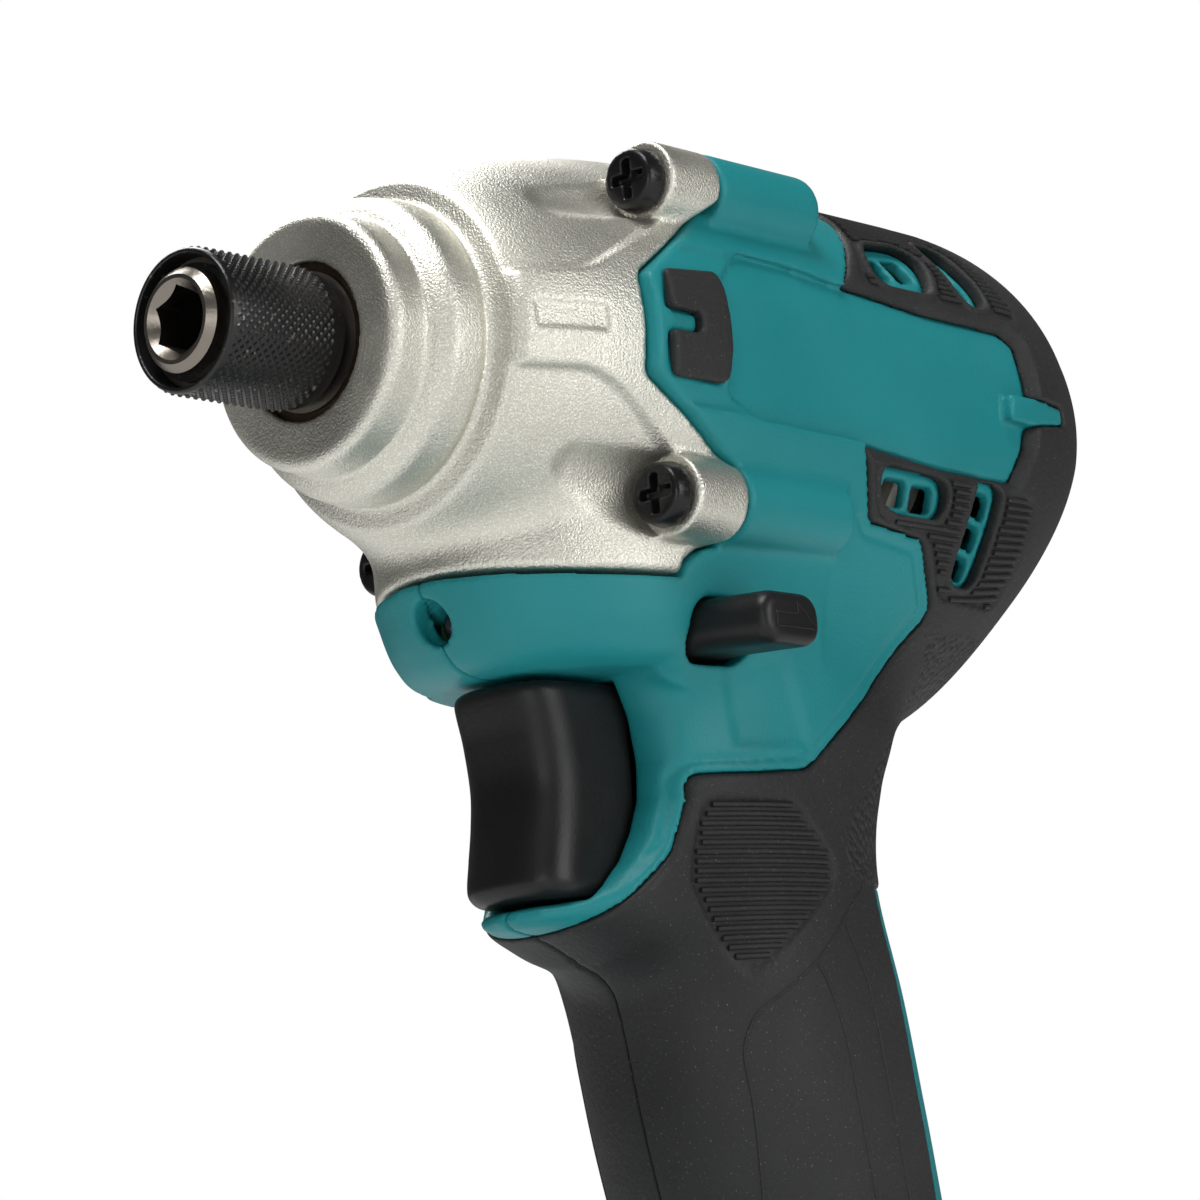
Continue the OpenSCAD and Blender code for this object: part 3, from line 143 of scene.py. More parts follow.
def soften(points, reach=0.8, turns=2):
    """Closed outline with its corners cut round, no cut longer than reach."""
    p = np.asarray(points, float)
    for _ in range(turns):
        q = np.roll(p, -1, axis=0)
        e = q - p
        length = np.maximum(np.linalg.norm(e, axis=1, keepdims=True), 1e-9)
        cut = e / length * np.minimum(reach, length * 0.3)
        p = np.stack((p + cut, q - cut), axis=1).reshape(-1, 2)
        reach *= 0.4
    return p


def outline(u, v, points):
    """Distance to a closed outline in the plane of u and v, negative inside."""
    p = np.asarray(points, float)
    u, v = np.broadcast_arrays(u, v)
    best = np.full(u.shape, 1e9)
    inside = np.zeros(u.shape, bool)
    for a, b in zip(p, np.roll(p, -1, axis=0)):
        e = b - a
        length = max(float(e @ e), 1e-12)
        du, dv = u - a[0], v - a[1]
        t = np.clip((du * e[0] + dv * e[1]) / length, 0, 1)
        best = np.minimum(best, (du - t * e[0]) ** 2 + (dv - t * e[1]) ** 2)
        if e[1] != 0:
            inside ^= ((a[1] > v) != (b[1] > v)) & (u < a[0] + (v - a[1]) * e[0] / e[1])
    return (np.sqrt(best) * np.where(inside, -1, 1)).astype(np.float32)


FAR = 18.0


def even(g, field):
    """A rough field made into a true distance near its surface, held within FAR of it."""
    ds, dy, dz = np.gradient(field, *g.axes)
    slope = np.sqrt(ds * ds + dy * dy + dz * dz)
    return np.clip(field / np.maximum(slope, 1e-3), -FAR, FAR)


def super_round(u, v, power):
    """Size of the superellipse through u and v, 1 on the one with half axes of 1."""
    return (np.abs(u) ** power + np.abs(v) ** power) ** (1 / power)


def rounded(r, *past):
    """Box with edges of radius r, from the distances past its faces."""
    q = [v + r for v in past]
    return np.sqrt(sum(np.maximum(v, 0) ** 2 for v in q)) + np.minimum(reduce(np.maximum, q), 0) - r


def block(g, s0, s1, y0, y1, z0, z1, r=0.0):
    """Box with rounded edges of radius r."""
    spans = (g.s, s0, s1), (g.y, y0, y1), (g.z, z0, z1)
    return rounded(r, *(np.abs(v - (a + b) / 2) - (b - a) / 2 for v, a, b in spans))


def rod(g, a, b, ra, rb):
    """Round bar with ball ends from a to b, each (s, y, z), tapering from ra to rb."""
    a, b = np.asarray(a, float), np.asarray(b, float)
    e = b - a
    ds, dy, dz = g.s - a[0], g.y - a[1], g.z - a[2]
    t = np.clip((ds * e[0] + dy * e[1] + dz * e[2]) / float(e @ e), 0, 1)
    d = np.sqrt((ds - t * e[0]) ** 2 + (dy - t * e[1]) ** 2 + (dz - t * e[2]) ** 2)
    return d - (ra + (rb - ra) * t)


def flat_bar(du, dv, along, start, end, radius):
    """Round bar with flat ends, from the two distances off its axis and the place along it."""
    return np.maximum(np.sqrt(du ** 2 + dv ** 2) - radius, np.maximum(start - along, along - end))


def spool(g, s0, s1, radius, y=0.0, z=0.0):
    """Round bar along the spindle."""
    return flat_bar(g.y - y, g.z - z, g.s, s0, s1, radius)


def pin(g, s, z, y0, y1, radius):
    """Round bar across the tool."""
    return flat_bar(g.s - s, g.z - z, g.y, y0, y1, radius)


def union(fields):
    """Several fields as one, without fillets."""
    return reduce(np.minimum, fields)


# Surfaces: a field becomes a closed mesh with one point in each crossed cell.

def cell_points(f):
    """One point in each cell that the surface crosses, in steps of the grid, and the cells' numbers."""
    inside = f < 0
    n = np.array(f.shape)
    count = np.zeros(n - 1, np.uint8)
    for i, j, k in CORNERS:
        count += inside[i:n[0] - 1 + i, j:n[1] - 1 + j, k:n[2] - 1 + k]
    crossed = (count > 0) & (count < len(CORNERS))
    cells = np.argwhere(crossed)
    index = np.full(crossed.shape, -1, np.int64)
    index[crossed] = np.arange(len(cells))
    total, hits = np.zeros((len(cells), 3)), np.zeros(len(cells))
    flat = f.ravel()
    stride = np.array((n[1] * n[2], n[2], 1))
    base = cells @ stride
    for axis, p, q in CELL_EDGES:
        start = np.zeros(3, int)
        start[(axis + 1) % 3], start[(axis + 2) % 3] = p, q
        first = base + start @ stride
        fa, fb = flat[first], flat[first + stride[axis]]
        cut = (fa < 0) != (fb < 0)
        spot = np.tile(start.astype(float), (len(cells), 1))
        spot[:, axis] += np.where(cut, fa / np.where(cut, fa - fb, 1), 0)
        total += spot * cut[:, None]
        hits += cut
    return cells + total / hits[:, None], index


CELL_EDGES = list(product(range(3), (0, 1), (0, 1)))


def cell_quads(inside, index):
    """Quads between the points of the four cells round each crossed edge of the grid."""
    quads = []
    for axis in range(3):
        b, c = (axis + 1) % 3, (axis + 2) % 3
        low, high = [slice(1, -1)] * 3, [slice(1, -1)] * 3
        low[axis], high[axis] = slice(0, -1), slice(1, None)
        one, two = inside[tuple(low)], inside[tuple(high)]
        for here, turn in ((one & ~two, 1), (two & ~one, -1)):
            at = np.argwhere(here)
            at[:, b] += 1
            at[:, c] += 1
            ring = []
            for db, dc in ((0, 0), (-1, 0), (-1, -1), (0, -1))[::turn]:
                cell = at.copy()
                cell[:, b] += db
                cell[:, c] += dc
                ring.append(index[cell[:, 0], cell[:, 1], cell[:, 2]])
            quads.append(np.stack(ring, axis=1))
    return np.concatenate(quads)


def relaxed(points, quads):
    """Points drawn halfway to the mean of their neighbours."""
    mean = np.zeros_like(points)
    number = np.zeros(len(points))
    for i in range(4):
        a, b = quads[:, i], quads[:, (i + 1) % 4]
        for axis in range(3):
            mean[:, axis] += np.bincount(a, points[b, axis], len(points))
            mean[:, axis] += np.bincount(b, points[a, axis], len(points))
        number += np.bincount(a, minlength=len(points)) + np.bincount(b, minlength=len(points))
    return 0.5 * points + 0.5 * mean / number[:, None]


def wrap(g, field, smooth):
    """Points in mm and quads round the space where the field is negative, smoothed a few times."""
    f = np.array(np.broadcast_to(field, [len(a) for a in g.axes]), dtype=np.float32)
    for axis in range(3):
        layers = np.moveaxis(f, axis, 0)
        for end in (0, -1):
            layers[end] = np.maximum(layers[end], g.step)
    points, index = cell_points(f)
    quads = cell_quads(f < 0, index)
    for _ in range(smooth):
        points = relaxed(points, quads)
    spots = [np.interp(points[:, k], np.arange(len(a)), a) for k, a in enumerate(g.axes)]
    return np.stack(spots, axis=1), quads


# Objects

def new_object(name, points, edges=(), faces=()):
    """A new object in the scene, from points in metres."""
    mesh = bpy.data.meshes.new(name)
    mesh.from_pydata(np.asarray(points, float).tolist(), list(edges), list(faces))
    obj = bpy.data.objects.new(name, mesh)
    bpy.context.collection.objects.link(obj)
    return obj


def drop_object(obj):
    """Takes an object and its mesh out of the file."""
    mesh = obj.data
    bpy.data.objects.remove(obj)
    bpy.data.meshes.remove(mesh)


def in_metres(points):
    """Points of the spindle's frame, given in mm as forward, left and up, in the frame of the CAD."""
    return np.asarray(points) * MM + np.array(NOSE)


def points_of(obj):
    """The points of an object's mesh as rows."""
    flat = np.empty(len(obj.data.vertices) * 3)
    obj.data.vertices.foreach_get("co", flat)
    return flat.reshape(-1, 3)


def plain_mesh(obj):
    """The evaluated mesh in place of the modifiers."""
    graph = bpy.context.evaluated_depsgraph_get()
    graph.update()
    made = bpy.data.meshes.new_from_object(obj.evaluated_get(graph))
    old = obj.data
    obj.modifiers.clear()
    obj.data = made
    made.name = obj.name
    bpy.data.meshes.remove(old)
    return obj


def thin_out(obj, share):
    """Thins a mesh to a share of its triangles."""
    obj.modifiers.new("Thin", "DECIMATE").ratio = share
    plain_mesh(obj)
    obj.data.shade_smooth()
    return obj


def mesh_piece(name, points, faces, material):
    """A smooth object from points of the spindle's frame in mm."""
    obj = new_object(name, in_metres(points), faces=np.asarray(faces).tolist())
    obj.data.validate()
    obj.data.materials.append(material)
    obj.data.shade_smooth()
    return obj


def field_piece(name, g, field, material, most, smooth=2, mirrored=False):
    """A field as an object of at most so many triangles, flipped to the right side if mirrored."""
    points, quads = wrap(g, field, smooth)
    if len(points) == 0:
        raise RuntimeError("no surface for " + name)
    if mirrored:
        points = points * np.array((1, -1, 1))
        quads = quads[:, ::-1]
    obj = mesh_piece(name, points, quads, material)
    if 2 * len(quads) > most:
        thin_out(obj, most / (2 * len(quads)))
    return obj


def join(name, objs, material):
    """Several objects as one plain mesh with one material."""
    points, faces, base = [], [], 0
    for o in objs:
        points.append(points_of(o))
        faces.extend([[v + base for v in p.vertices] for p in o.data.polygons])
        base += len(points[-1])
    for o in objs:
        drop_object(o)
    obj = new_object(name, np.concatenate(points), faces=faces)
    obj.data.materials.append(material)
    obj.data.shade_smooth()
    return obj


# Forms of the moulded body

BARREL_TOP = 25.4
# how the rear closes above and below the spindle, as (start, length, power)
REAR_ABOVE, REAR_BELOW = (104, 32.4, 2.6), (100, 36.4, 3.4)


def barrel(g):
    """Motor barrel with its deep belly and domed rear."""
    half = glide(g.s, (30, 43, 62, 86, 108, 137), (25.8, 26.2, 26.8, 26.8, 26.8, 26.6))
    belly = glide(g.s, (30, 43, 62, 86, 97, 108.4, 119.4, 128, 137),
                  (24, 26, 32, 39.5, 40, 36.3, 29.2, 24.5, 22))
    fullness = glide(g.s, (43, 62, 86, 108, 120, 137), (2, 1.9, 1.75, 1.8, 1.9, 2))
    up = np.where(g.z > 0, g.z / BARREL_TOP, -g.z / belly)
    rho = super_round(g.y / half, up, np.where(g.z > 0, 2.0, fullness))
    # the rear closes sooner above the spindle than below it
    above = np.clip(0.5 + g.z / 12, 0, 1)
    high, low = (np.clip((g.s - start) / length, 0, 2) ** power
                 for start, length, power in (REAR_ABOVE, REAR_BELOW))
    close = above * high + (1 - above) * low
    return (np.sqrt(rho ** 2 + close) - 1).astype(np.float32) * 25


# ends of the grip's form, hidden in the barrel and in the foot
GRIP_TOP, GRIP_LOW = -14, -136
GRIP_POWER, GRIP_MEAN = 2.2, 18


def grip(g):
    """Neck and grip, leaning back towards the foot."""
    heights = (-126, -119.7, -104, -82, -70, -57, -50, -45.8, -39, -30, -20)
    middle = glide(g.z, heights, (88.8, 87.7, 84.9, 80.7, 78.6, 75, 74.1, 74.2, 75.5, 75, 72))
    deep = glide(g.z, heights, (23.5, 21, 19.4, 20.2, 20.4, 21, 22.9, 24.4, 26.3, 29, 34))
    half = glide(g.z, heights, (20, 17.4, 16.2, 16.6, 16.6, 16.8, 17, 17.3, 18.1, 19, 19.5))
    side = (super_round((g.s - middle) / deep, g.y / half, GRIP_POWER) - 1) * GRIP_MEAN
    return np.maximum(even(g, side), np.maximum(g.z - GRIP_TOP, GRIP_LOW - g.z)).astype(np.float32)


FOOT_LOW, FOOT_TOP = -145.7, -123.7
FOOT_FRONT, FOOT_REAR, FOOT_MIDDLE, FOOT_HALF = 42.2, 125.8, 84, 34
TAPER_DEPTH, TAPER = 9, 0.16


def foot(g):
    """Broad foot that the battery slides under, its faces slightly crowned."""
    plan = [(FOOT_FRONT, -FOOT_HALF), (FOOT_FRONT, FOOT_HALF),
            (FOOT_REAR, FOOT_HALF), (FOOT_REAR, -FOOT_HALF)]
    side = outline(g.s, g.y, soften(plan, 5, 3))
    taper = (g.z - FOOT_TOP + TAPER_DEPTH) * TAPER * (g.z > FOOT_TOP - TAPER_DEPTH)
    along = (g.s - FOOT_MIDDLE) ** 2
    crown = (g.z - FOOT_LOW - 11) ** 2 / 1200 + g.y ** 2 / 9000 + along / 15000
    level = np.maximum(g.z - FOOT_TOP, FOOT_LOW - g.z) + (g.y ** 2 + along) / 12000
    return meet(side + taper + crown, level, 3.0)


# rear edges of the hammer case: outside, and of its spigot in the housing
LAP, CASE_REAR = 57.8, 62.4


def skirt_edge(s):
    """Height of the joint between the case's skirt and the chin below it."""
    return glide(s, (31, 33, 37, 42, 52.4, 53.2, 57.8), (-24.3, -24.4, -24.8, -25.1, -25.3, -23.9, -21.8))


def chin_side(g, front, half):
    """Plan of the chin and of the skirt above it: half an ellipse, then straight back."""
    u = np.clip((LAP - 0.2 - g.s) / (LAP - 0.2 - front), 0, None)
    return (np.sqrt(u * u + (g.y / half) ** 2) - 1) * 18


def chin(g):
    """Nose of the housing below the hammer case, with the lamp in it."""
    levels = (-36.6, -34.6, -33.4, -31.8, -30.1, -27.5, -24.6)
    front = glide(g.z, levels, (40.4, 37.6, 36.1, 34.8, 33.7, 32.5, 31.5))
    half = glide(g.z, levels, (15, 16.6, 17.5, 18.5, 19.2, 19.6, 19.8))
    d = np.maximum(chin_side(g, front, half), -36.5 - g.z)
    return np.maximum(np.maximum(d, g.z - skirt_edge(g.s) + 0.3), g.s - 75)


def guard(g):
    """Lip below the trigger, rising into the rim beside it."""
    at = (40.8, 42.4, 46.6, 50.2, 53, 58, 66)
    half = glide(g.s, at, (2.6, 5.4, 8.8, 11.4, 12.4, 13, 13.4))
    top = glide(g.s, at, (-58.6, -57.6, -55, -51, -47, -44, -42))
    low = glide(g.s, at, (-61, -61.6, -62.4, -63.8, -65.2, -66.4, -67))
    tall = (top - low) / 2
    up = (g.z - (top + low) / 2) / tall
    rho = super_round(g.y / half, up, np.where(up > 0, 3.4, 2.2))
    return np.maximum(meet((rho - 1) * np.minimum(tall, half), 40.6 - g.s, 0.8), g.s - 68).astype(np.float32)


def body(g):
    """Whole moulded body."""
    solid = even(g, blend(even(g, barrel(g)), grip(g), 5.0))
    for part, fillet in ((foot(g), 7.0), (even(g, chin(g)), 2.0), (even(g, guard(g)), 3.0)):
        solid = blend(solid, part, fillet)
    # rounded rim that sweeps round the trigger
    return carve(solid, np.maximum(outline(g.s, g.z, RIM), np.abs(g.y) - 30), 2.4)


# Outlines seen from the left, as (s, z): rim round the trigger, sunk panel, soft skin, prow beside the case,
# its shallow dip and its pad
RIM = [(0, -34.6), (52.6, -34.6), (54.6, -39), (55.4, -44), (55, -48), (53.4, -51.6), (51.2, -54.8),
       (48.2, -57.4), (44.6, -59.1), (40, -59.5), (0, -59.5)]
PANEL = soften([(55.8, 6.2), (60.6, 10.2), (68, 10.1), (78, 8.9), (94.1, 7.5), (107.8, 7.3), (110.6, 6),
                (111.2, 0.2), (110.3, -6.5), (107.8, -10.8), (94, -10.6), (79, -9.2), (61, -8.8),
                (55.8, -6.6)], 0.35)
SKIN = soften([(90, 40), (86.8, 18.5), (84.2, 15.3), (78.3, 8.8), (94.1, 7.3), (107.6, 7.1), (110.2, 5.8),
               (110.8, 0.2), (109.9, -6.4), (107.6, -10.5), (94, -10.3), (78.9, -9), (81.6, -17.5),
               (91.6, -18.6), (96.4, -25.4), (95.9, -27), (84.3, -36.8), (74.4, -44.4), (73, -45.2),
               (65.8, -45.7), (58.2, -45.9), (57.4, -46.6), (57.2, -48.7), (54.8, -54.2), (48.4, -60),
               (45, -62.4), (38, -64.4), (30, -72), (30, FOOT_TOP + 3.5), (150, FOOT_TOP + 3.5),
               (150, 40)], 0.35)
PROW = soften([(LAP + 0.2, 15.4), (44.6, 5.6), (44.4, -5.2), (LAP + 0.2, -14), (78, -14), (78, 15.4)], 0.4)
DIP = [(38, 9.4), (58, 9.5), (61, 10.2), (64, 10), (64, -8.9), (57, -8.3), (38, -8.2)]
PAD = soften([(46.3, 6.2), (54.6, 6.9), (55.4, 5.2), (55.5, -1.6), (55, -5.2), (54.2, -5.8), (46.6, -5.8),
              (46.2, -4.9), (46.2, -0.7), (50.6, -0.7), (50.8, 1.5), (46.2, 1.6)], 0.4)
# vent windows: outline of each frame and its panes as (s, z, width, height, turn)
WINDOWS = [([(82.6, -11.2), (93.4, -11.7), (95, -13), (94.6, -16.2), (85.2, -16), (82.8, -14.6)],
            [(86.6, -13.7, 4.3, 2.9, 0), (91.7, -14, 4.1, 2.9, 0)]),
           ([(100.6, -11.2), (105.4, -11.4), (105.2, -14), (103.6, -22.8), (99, -22.8), (98.6, -21)],
            [(102.9, -13.7, 3.2, 2.8, 10), (102.2, -17.2, 3.2, 2.8, 10), (101.4, -20.6, 3.2, 2.6, 10)]),
           ([(86.6, 10.6), (95.6, 10.6), (97, 12), (98.8, 15.6), (96.6, 17.2), (88.4, 16.2), (86, 12.4)],
            [(89.6, 13.1, 4.1, 3.2, -8), (94.4, 13.7, 4.1, 3.2, -8)]),
           ([(102.2, 10.2), (106.2, 10.2), (107, 12), (106.2, 18.6), (102.6, 19.2), (101.6, 17.6)],
            [(104.4, 12, 3, 2.4, -6), (104.2, 14.8, 3, 2.4, -6), (103.9, 17.4, 3, 2.2, -6)])]
FRAMES = [soften(edge, 1.0) for edge, _ in WINDOWS]
PANES = [spot for _, spots in WINDOWS for spot in spots]
# ridged fields of the skin, pebbled web behind the neck, raised lines on the grip, tab of the panel
RIDGED_LOW = soften([(80.8, -11.2), (82.8, -16.9), (93.2, -18.4), (97.2, -24.6), (110, -24.6),
                     (112.6, -18.6), (113.2, -12.6), (105.4, -11.8)], 0.9)
RIDGED_TOP = soften([(81.8, 10), (94, 8.9), (111.2, 8.9), (112.6, 11), (108.6, 23), (90.2, 23),
                     (86.2, 16.2)], 0.9)
RIDGED_GRIP = soften([(59.2, -48.6), (70.6, -48.7), (77, -55), (76.5, -58), (65.4, -67.5), (64.1, -67.1),
                      (56.8, -57.4), (57.9, -52)], 0.9)
WEB = [(97.2, -28.6), (99.8, -33.6), (86, -46.6), (79, -51.7), (80.4, -56.6), (92, -58), (120, -58),
       (125, -27)]
GRIP_LINES = [[(83, -57.1), (79.5, -60.1), (72.9, -66.3), (69.3, -68.9), (65.2, -72.3), (64.4, -75.6),
               (65.2, -81), (68.4, -104), (70.6, -116)],
              [(78.1, -62.2), (79.8, -65.6), (81.4, -69.4), (83.5, -81.7), (87, -104), (89.2, -116)],
              [(72.9, -66.3), (74.3, -68.8), (76.6, -75.6), (77.6, -82), (81.2, -104), (83.2, -116)]]
TAB = soften([(106.4, -0.5), (118.2, -0.7), (118.6, -2.6), (110.5, -3.8), (106.2, -3.6)], 0.3)
# hollow in the housing below the lever
LEVER_HOLLOW = [(61.4, -34.6), (69.6, -33), (73.7, -42.6), (63.2, -42.8)]
# housing screws as (s, z, depth of the head's seat)
SCREWS = [(123.6, 13.2, 14), (104, -30.6, 9), (45.5, -30.5, 12), (86.2, -52.5, 10.5), (83, -112, 10.5),
          (62, FOOT_TOP - 6, 22), (116, FOOT_TOP - 6, 22)]
# lever as (s, z, length, height), trigger as (front, rear, top, low, half width)
LEVER = (59.2, -30.7, 9.8, 5.8)
TRIGGER = (40.2, 55.5, -35.1, -58.7, 7.2)
# case screws' bosses as (y, z, radius), lamp as (s, z, radius), hook thread as (s, z)
BOSSES = (20.8, 17.4, 4.5)
LAMP = (32.8, -28.7, 1.9)
HOOK = (96, FOOT_LOW + 8.5)
# ribs inside that hold the motor and the gears, as (s, thickness, bore radius)
SEATS = ((99.6, 2, 22.4), (109.6, 2, 22.4), (68.2, 2.5, 23.1), (124.3, 6.5, 8.1))
# depths below the outer form: wall, bed of the soft skin, the skin itself, windows and panel
WALL, BED, SKIN_DEPTH, WINDOW_SUNK, PANEL_SUNK = 2.8, 1.55, 1.5, 1.2, 1.05
# how far the soft skin stands out, its ridged fields lie back and its edge stands off
SKIN_RISE, RIDGES_SUNK, SKIN_GAP = 0.28, 0.45, 0.15
# places beside the middle plane: flat panel, bed of the pads, inner ends of the vents, beyond the tool
PANEL_Y, PAD_BED_Y, VENT_Y, BESIDE = 25.2, 25.2, 17, 60
# channel below the foot: its ends, and half widths for the battery's rails and for the neck below them
CHANNEL, RAIL_ROOM, NECK_ROOM = (20, 109.6), 25.3, 22.3
# room round moving pieces, and each half's distance from the parting plane
FIT, PARTING = 0.3, 0.02


def pane(g, s, z, w, h, turn):
    """One rounded window of a vent, seen from the side."""
    c, t = math.cos(math.radians(turn)), math.sin(math.radians(turn))
    u = (g.s - s) * c - (g.z - z) * t
    v = (g.s - s) * t + (g.z - z) * c
    return rounded(0.6, np.abs(u) - w / 2, np.abs(v) - h / 2)


def side_bosses(g):
    """Screw bosses that run back from the case along the barrel."""
    y, z, r = BOSSES
    tails = union(meet(np.sqrt((g.y - y) ** 2 + (g.z - up * z) ** 2) - r, g.s - end, 1.2)
                  for up, end in ((1, 75.4), (-1, 76.6)))
    return np.maximum(tails, LAP + 0.2 - g.s)


class Shell:
    """The fields that housing and soft skin share, for the left half."""

    def __init__(self, g):
        self.outer = body(g)
        self.zone, self.panel, self.tab = (outline(g.s, g.z, edge) for edge in (SKIN, PANEL, TAB))
        self.frames = union(outline(g.s, g.z, edge) for edge in FRAMES)
        self.panes = union(pane(g, *spot) for spot in PANES)
        ridged = union(outline(g.s, g.z, edge) for edge in (RIDGED_LOW, RIDGED_TOP, RIDGED_GRIP))
        self.ridged = np.maximum(ridged, 0.9 - self.frames)
        # the grip's back stays bare
        strip = g.y - glide(g.z, (-84, -57), (14.7, 14.4))
        strip = np.maximum(strip, np.maximum(g.z + 57.5, 78 - g.s))
        self.black = meet(self.zone, -union((self.frames, self.tab, strip)), 0.6)
        s0, s1, top, low, half = TRIGGER
        self.slot = block(g, s0 - 40, s1 + 6.3, -9, half + FIT, low - FIT, top + FIT, 0.6)
        self.screw_holes = union(np.minimum(pin(g, s, z, y, BESIDE, 3.3), pin(g, s, z, -1, BESIDE, 1.7))
                                 for s, z, y in SCREWS)


def shell_wall(g, shell):
    """The moulded wall before its openings: ahead open for the case, with ribs and posts inside."""
    # fine groove beside the black edge, shallow dip of the prow and a soft hollow below the lever
    drop = 0.35 * np.exp(-((shell.zone - 1.4) / 0.4) ** 2) * (g.z < -17) * np.clip((g.y - 10) / 2, 0, 1)
    drop = drop + 0.5 * step_up(outline(g.s, g.z, DIP), 0.7)
    drop = drop + 0.45 * step_up(outline(g.s, g.z, LEVER_HOLLOW), 2.0) * (g.y > 8)
    solid = blend(shell.outer, side_bosses(g), 1.0) + drop
    ahead = np.maximum(g.s - LAP - 0.2, skirt_edge(g.s) - FIT - g.z)
    solid = carve(solid, np.maximum(ahead, -outline(g.s, g.z, PROW)), 0.7)
    wall = cut_out(solid, np.maximum(shell.outer + WALL, FOOT_LOW + 11.4 - g.z))
    seats = union(np.maximum(np.abs(g.s - s) - t / 2, r - g.r) for s, t, r in SEATS)
    posts = union(pin(g, s, z, -1, BESIDE, 4.5) for s, z, _ in SCREWS)
    wall = np.minimum(wall, np.maximum(np.minimum(seats, posts), shell.outer + 1.6))
    return cut_out(wall, spool(g, 20, CASE_REAR + 0.2, 23.4), spool(g, CASE_REAR - 1, 85.8, 23.8))


def housing_field(g, shell, right):
    """One half of the teal shell, with its beds, slots and seats."""
    # bed of the soft skin, windows sunk in it and the flat panel
    wall = cut_out(shell_wall(g, shell), np.maximum(shell.black, -BED - shell.outer))
    wall = carve(wall, np.maximum(shell.frames, -WINDOW_SUNK - shell.outer), 0.3)
    flat = np.maximum(shell.outer + PANEL_SUNK, g.y - PANEL_Y + g.z ** 2 / 400 + (g.s - 83) ** 2 / 5000)
    wall = carve(wall, np.maximum(np.maximum(shell.panel, -shell.tab), -flat), 0.15)
    # openings for trigger, lever and lamp
    wall = carve(wall, shell.slot, 0.8)
    s, z, length, height = LEVER
    wall = carve(wall, block(g, s - length / 2 - FIT, s + length / 2 + FIT, -5, BESIDE, z - height / 2 - 0.8,
                             z + height / 2 + FIT, height / 2), 0.5)
    s, z, r = LAMP
    wall = carve(wall, spool(g, 15, s + 7.6, r + 0.1, 0, z), 0.2)
    wall = carve(wall, spool(g, 15, s + 2.6, r + 0.5, 0, z), 0.4)
    # battery channel, vents, pads, hook threads and case screws
    wall = cut_out(wall, block(g, *CHANNEL, -26, RAIL_ROOM, FOOT_LOW + 3, FOOT_LOW + 8.3),
                   block(g, *CHANNEL, -26, NECK_ROOM, FOOT_LOW - 2, FOOT_LOW + 4))
    wall = carve(wall, np.maximum(shell.panes, VENT_Y - g.y), 0.2)
    wall = cut_out(wall, np.maximum(outline(g.s, g.z, PAD) - 0.12, PAD_BED_Y - g.y),
                   pin(g, *HOOK, 25.4, 33.7, 3.0), pin(g, *HOOK, 25, BESIDE, 2.3),
                   *(spool(g, LAP - 2, CASE_REAR + 11.6, 1.8, BOSSES[0], up * BOSSES[1]) for up in (-1, 1)))
    if right:
        wall = carve(wall, shell.screw_holes, 0.4)
    else:
        wall = cut_out(wall, *(pin(g, s, z, -1, 11, 1.6) for s, z, _ in SCREWS))
    # hairline along the parting plane
    return meet(wall, PARTING - g.y, 0.35)


def skin_field(g, shell, right):
    """One half of the soft black skin, bevelled towards the panel and sunk where it carries ridges."""
    drop = np.clip(1.5 - shell.panel, 0, 1.5) * 0.75 + RIDGES_SUNK * step_up(shell.ridged, 0.5)
    top = meet(shell.black + 0.12, shell.outer - SKIN_RISE + drop, 0.6)
    d = cut_out(top, shell.outer + SKIN_DEPTH, shell.frames - SKIN_GAP, shell.tab - SKIN_GAP)
    d = carve(d, shell.slot - 0.05, 0.6)
    if right:
        d = carve(d, shell.screw_holes, 0.5)
    return meet(d, PARTING - g.y, 0.4)


def sample(g, field, s, y, z):
    """Field values at loose points between those of the grid."""
    at = [np.interp(v, a, np.arange(len(a))) for v, a in zip((-s, y, z), g.axes)]
    cell = [np.clip(np.floor(v).astype(int), 0, n - 2) for v, n in zip(at, field.shape)]
    part = [v - c for v, c in zip(at, cell)]
    total = 0.0
    for corner in CORNERS:
        weight = 1.0
        for v, one in zip(part, corner):
            weight = weight * (v if one else 1 - v)
        total = total + weight * field[tuple(c + one for c, one in zip(cell, corner))]
    return total


# rays that lay lines on a surface run from inside it to beyond it
RAY_FROM, RAY_TO, RAY_STEP = 8, 38, 0.3


def surface_lines(g, field, level, lines, zone):
    """Lines cast outwards onto a field's level, each from (stations, heights at the middle plane, angle).

    They are kept inside the zone's first outline and clear of the others.
    """
    laid = []
    reach = np.arange(RAY_FROM, RAY_TO, RAY_STEP)
    for stations, z0, angle in lines:
        s = np.asarray(stations, float)[:, None]
        z0 = np.broadcast_to(np.asarray(z0, float), len(s))
        y, z = 0 * s + reach * np.cos(angle), z0[:, None] + reach * np.sin(angle)
        f = sample(g, field, s + 0 * y, y, z) - level
        last = np.clip(np.argmax(f > 0, axis=1), 1, len(reach) - 1)
        row = np.arange(len(last))
        a, b = f[row, last - 1], f[row, last]
        t = reach[last - 1] + RAY_STEP * a / np.where(np.abs(a - b) > 1e-9, a - b, 1)
        points = np.stack((-s[:, 0], t * np.cos(angle), z0 + t * np.sin(angle)), axis=1)
        within = outline(-points[:, 0], points[:, 2], zone[0]) < -0.2
        for hole in zone[1:]:
            within &= outline(-points[:, 0], points[:, 2], hole) > 0.95
        run = []
        for p, ok in zip(points, within):
            if ok:
                run.append(tuple(p))
            elif run:
                laid.append(run)
                run = []
        laid.append(run)
    return [run for run in laid if len(run) > 2]


# Finishes

def wire(tree, *pairs):
    """Links sockets of a node tree, each pair from an output to an input."""
    for start, end in pairs:
        tree.links.new(start, end)


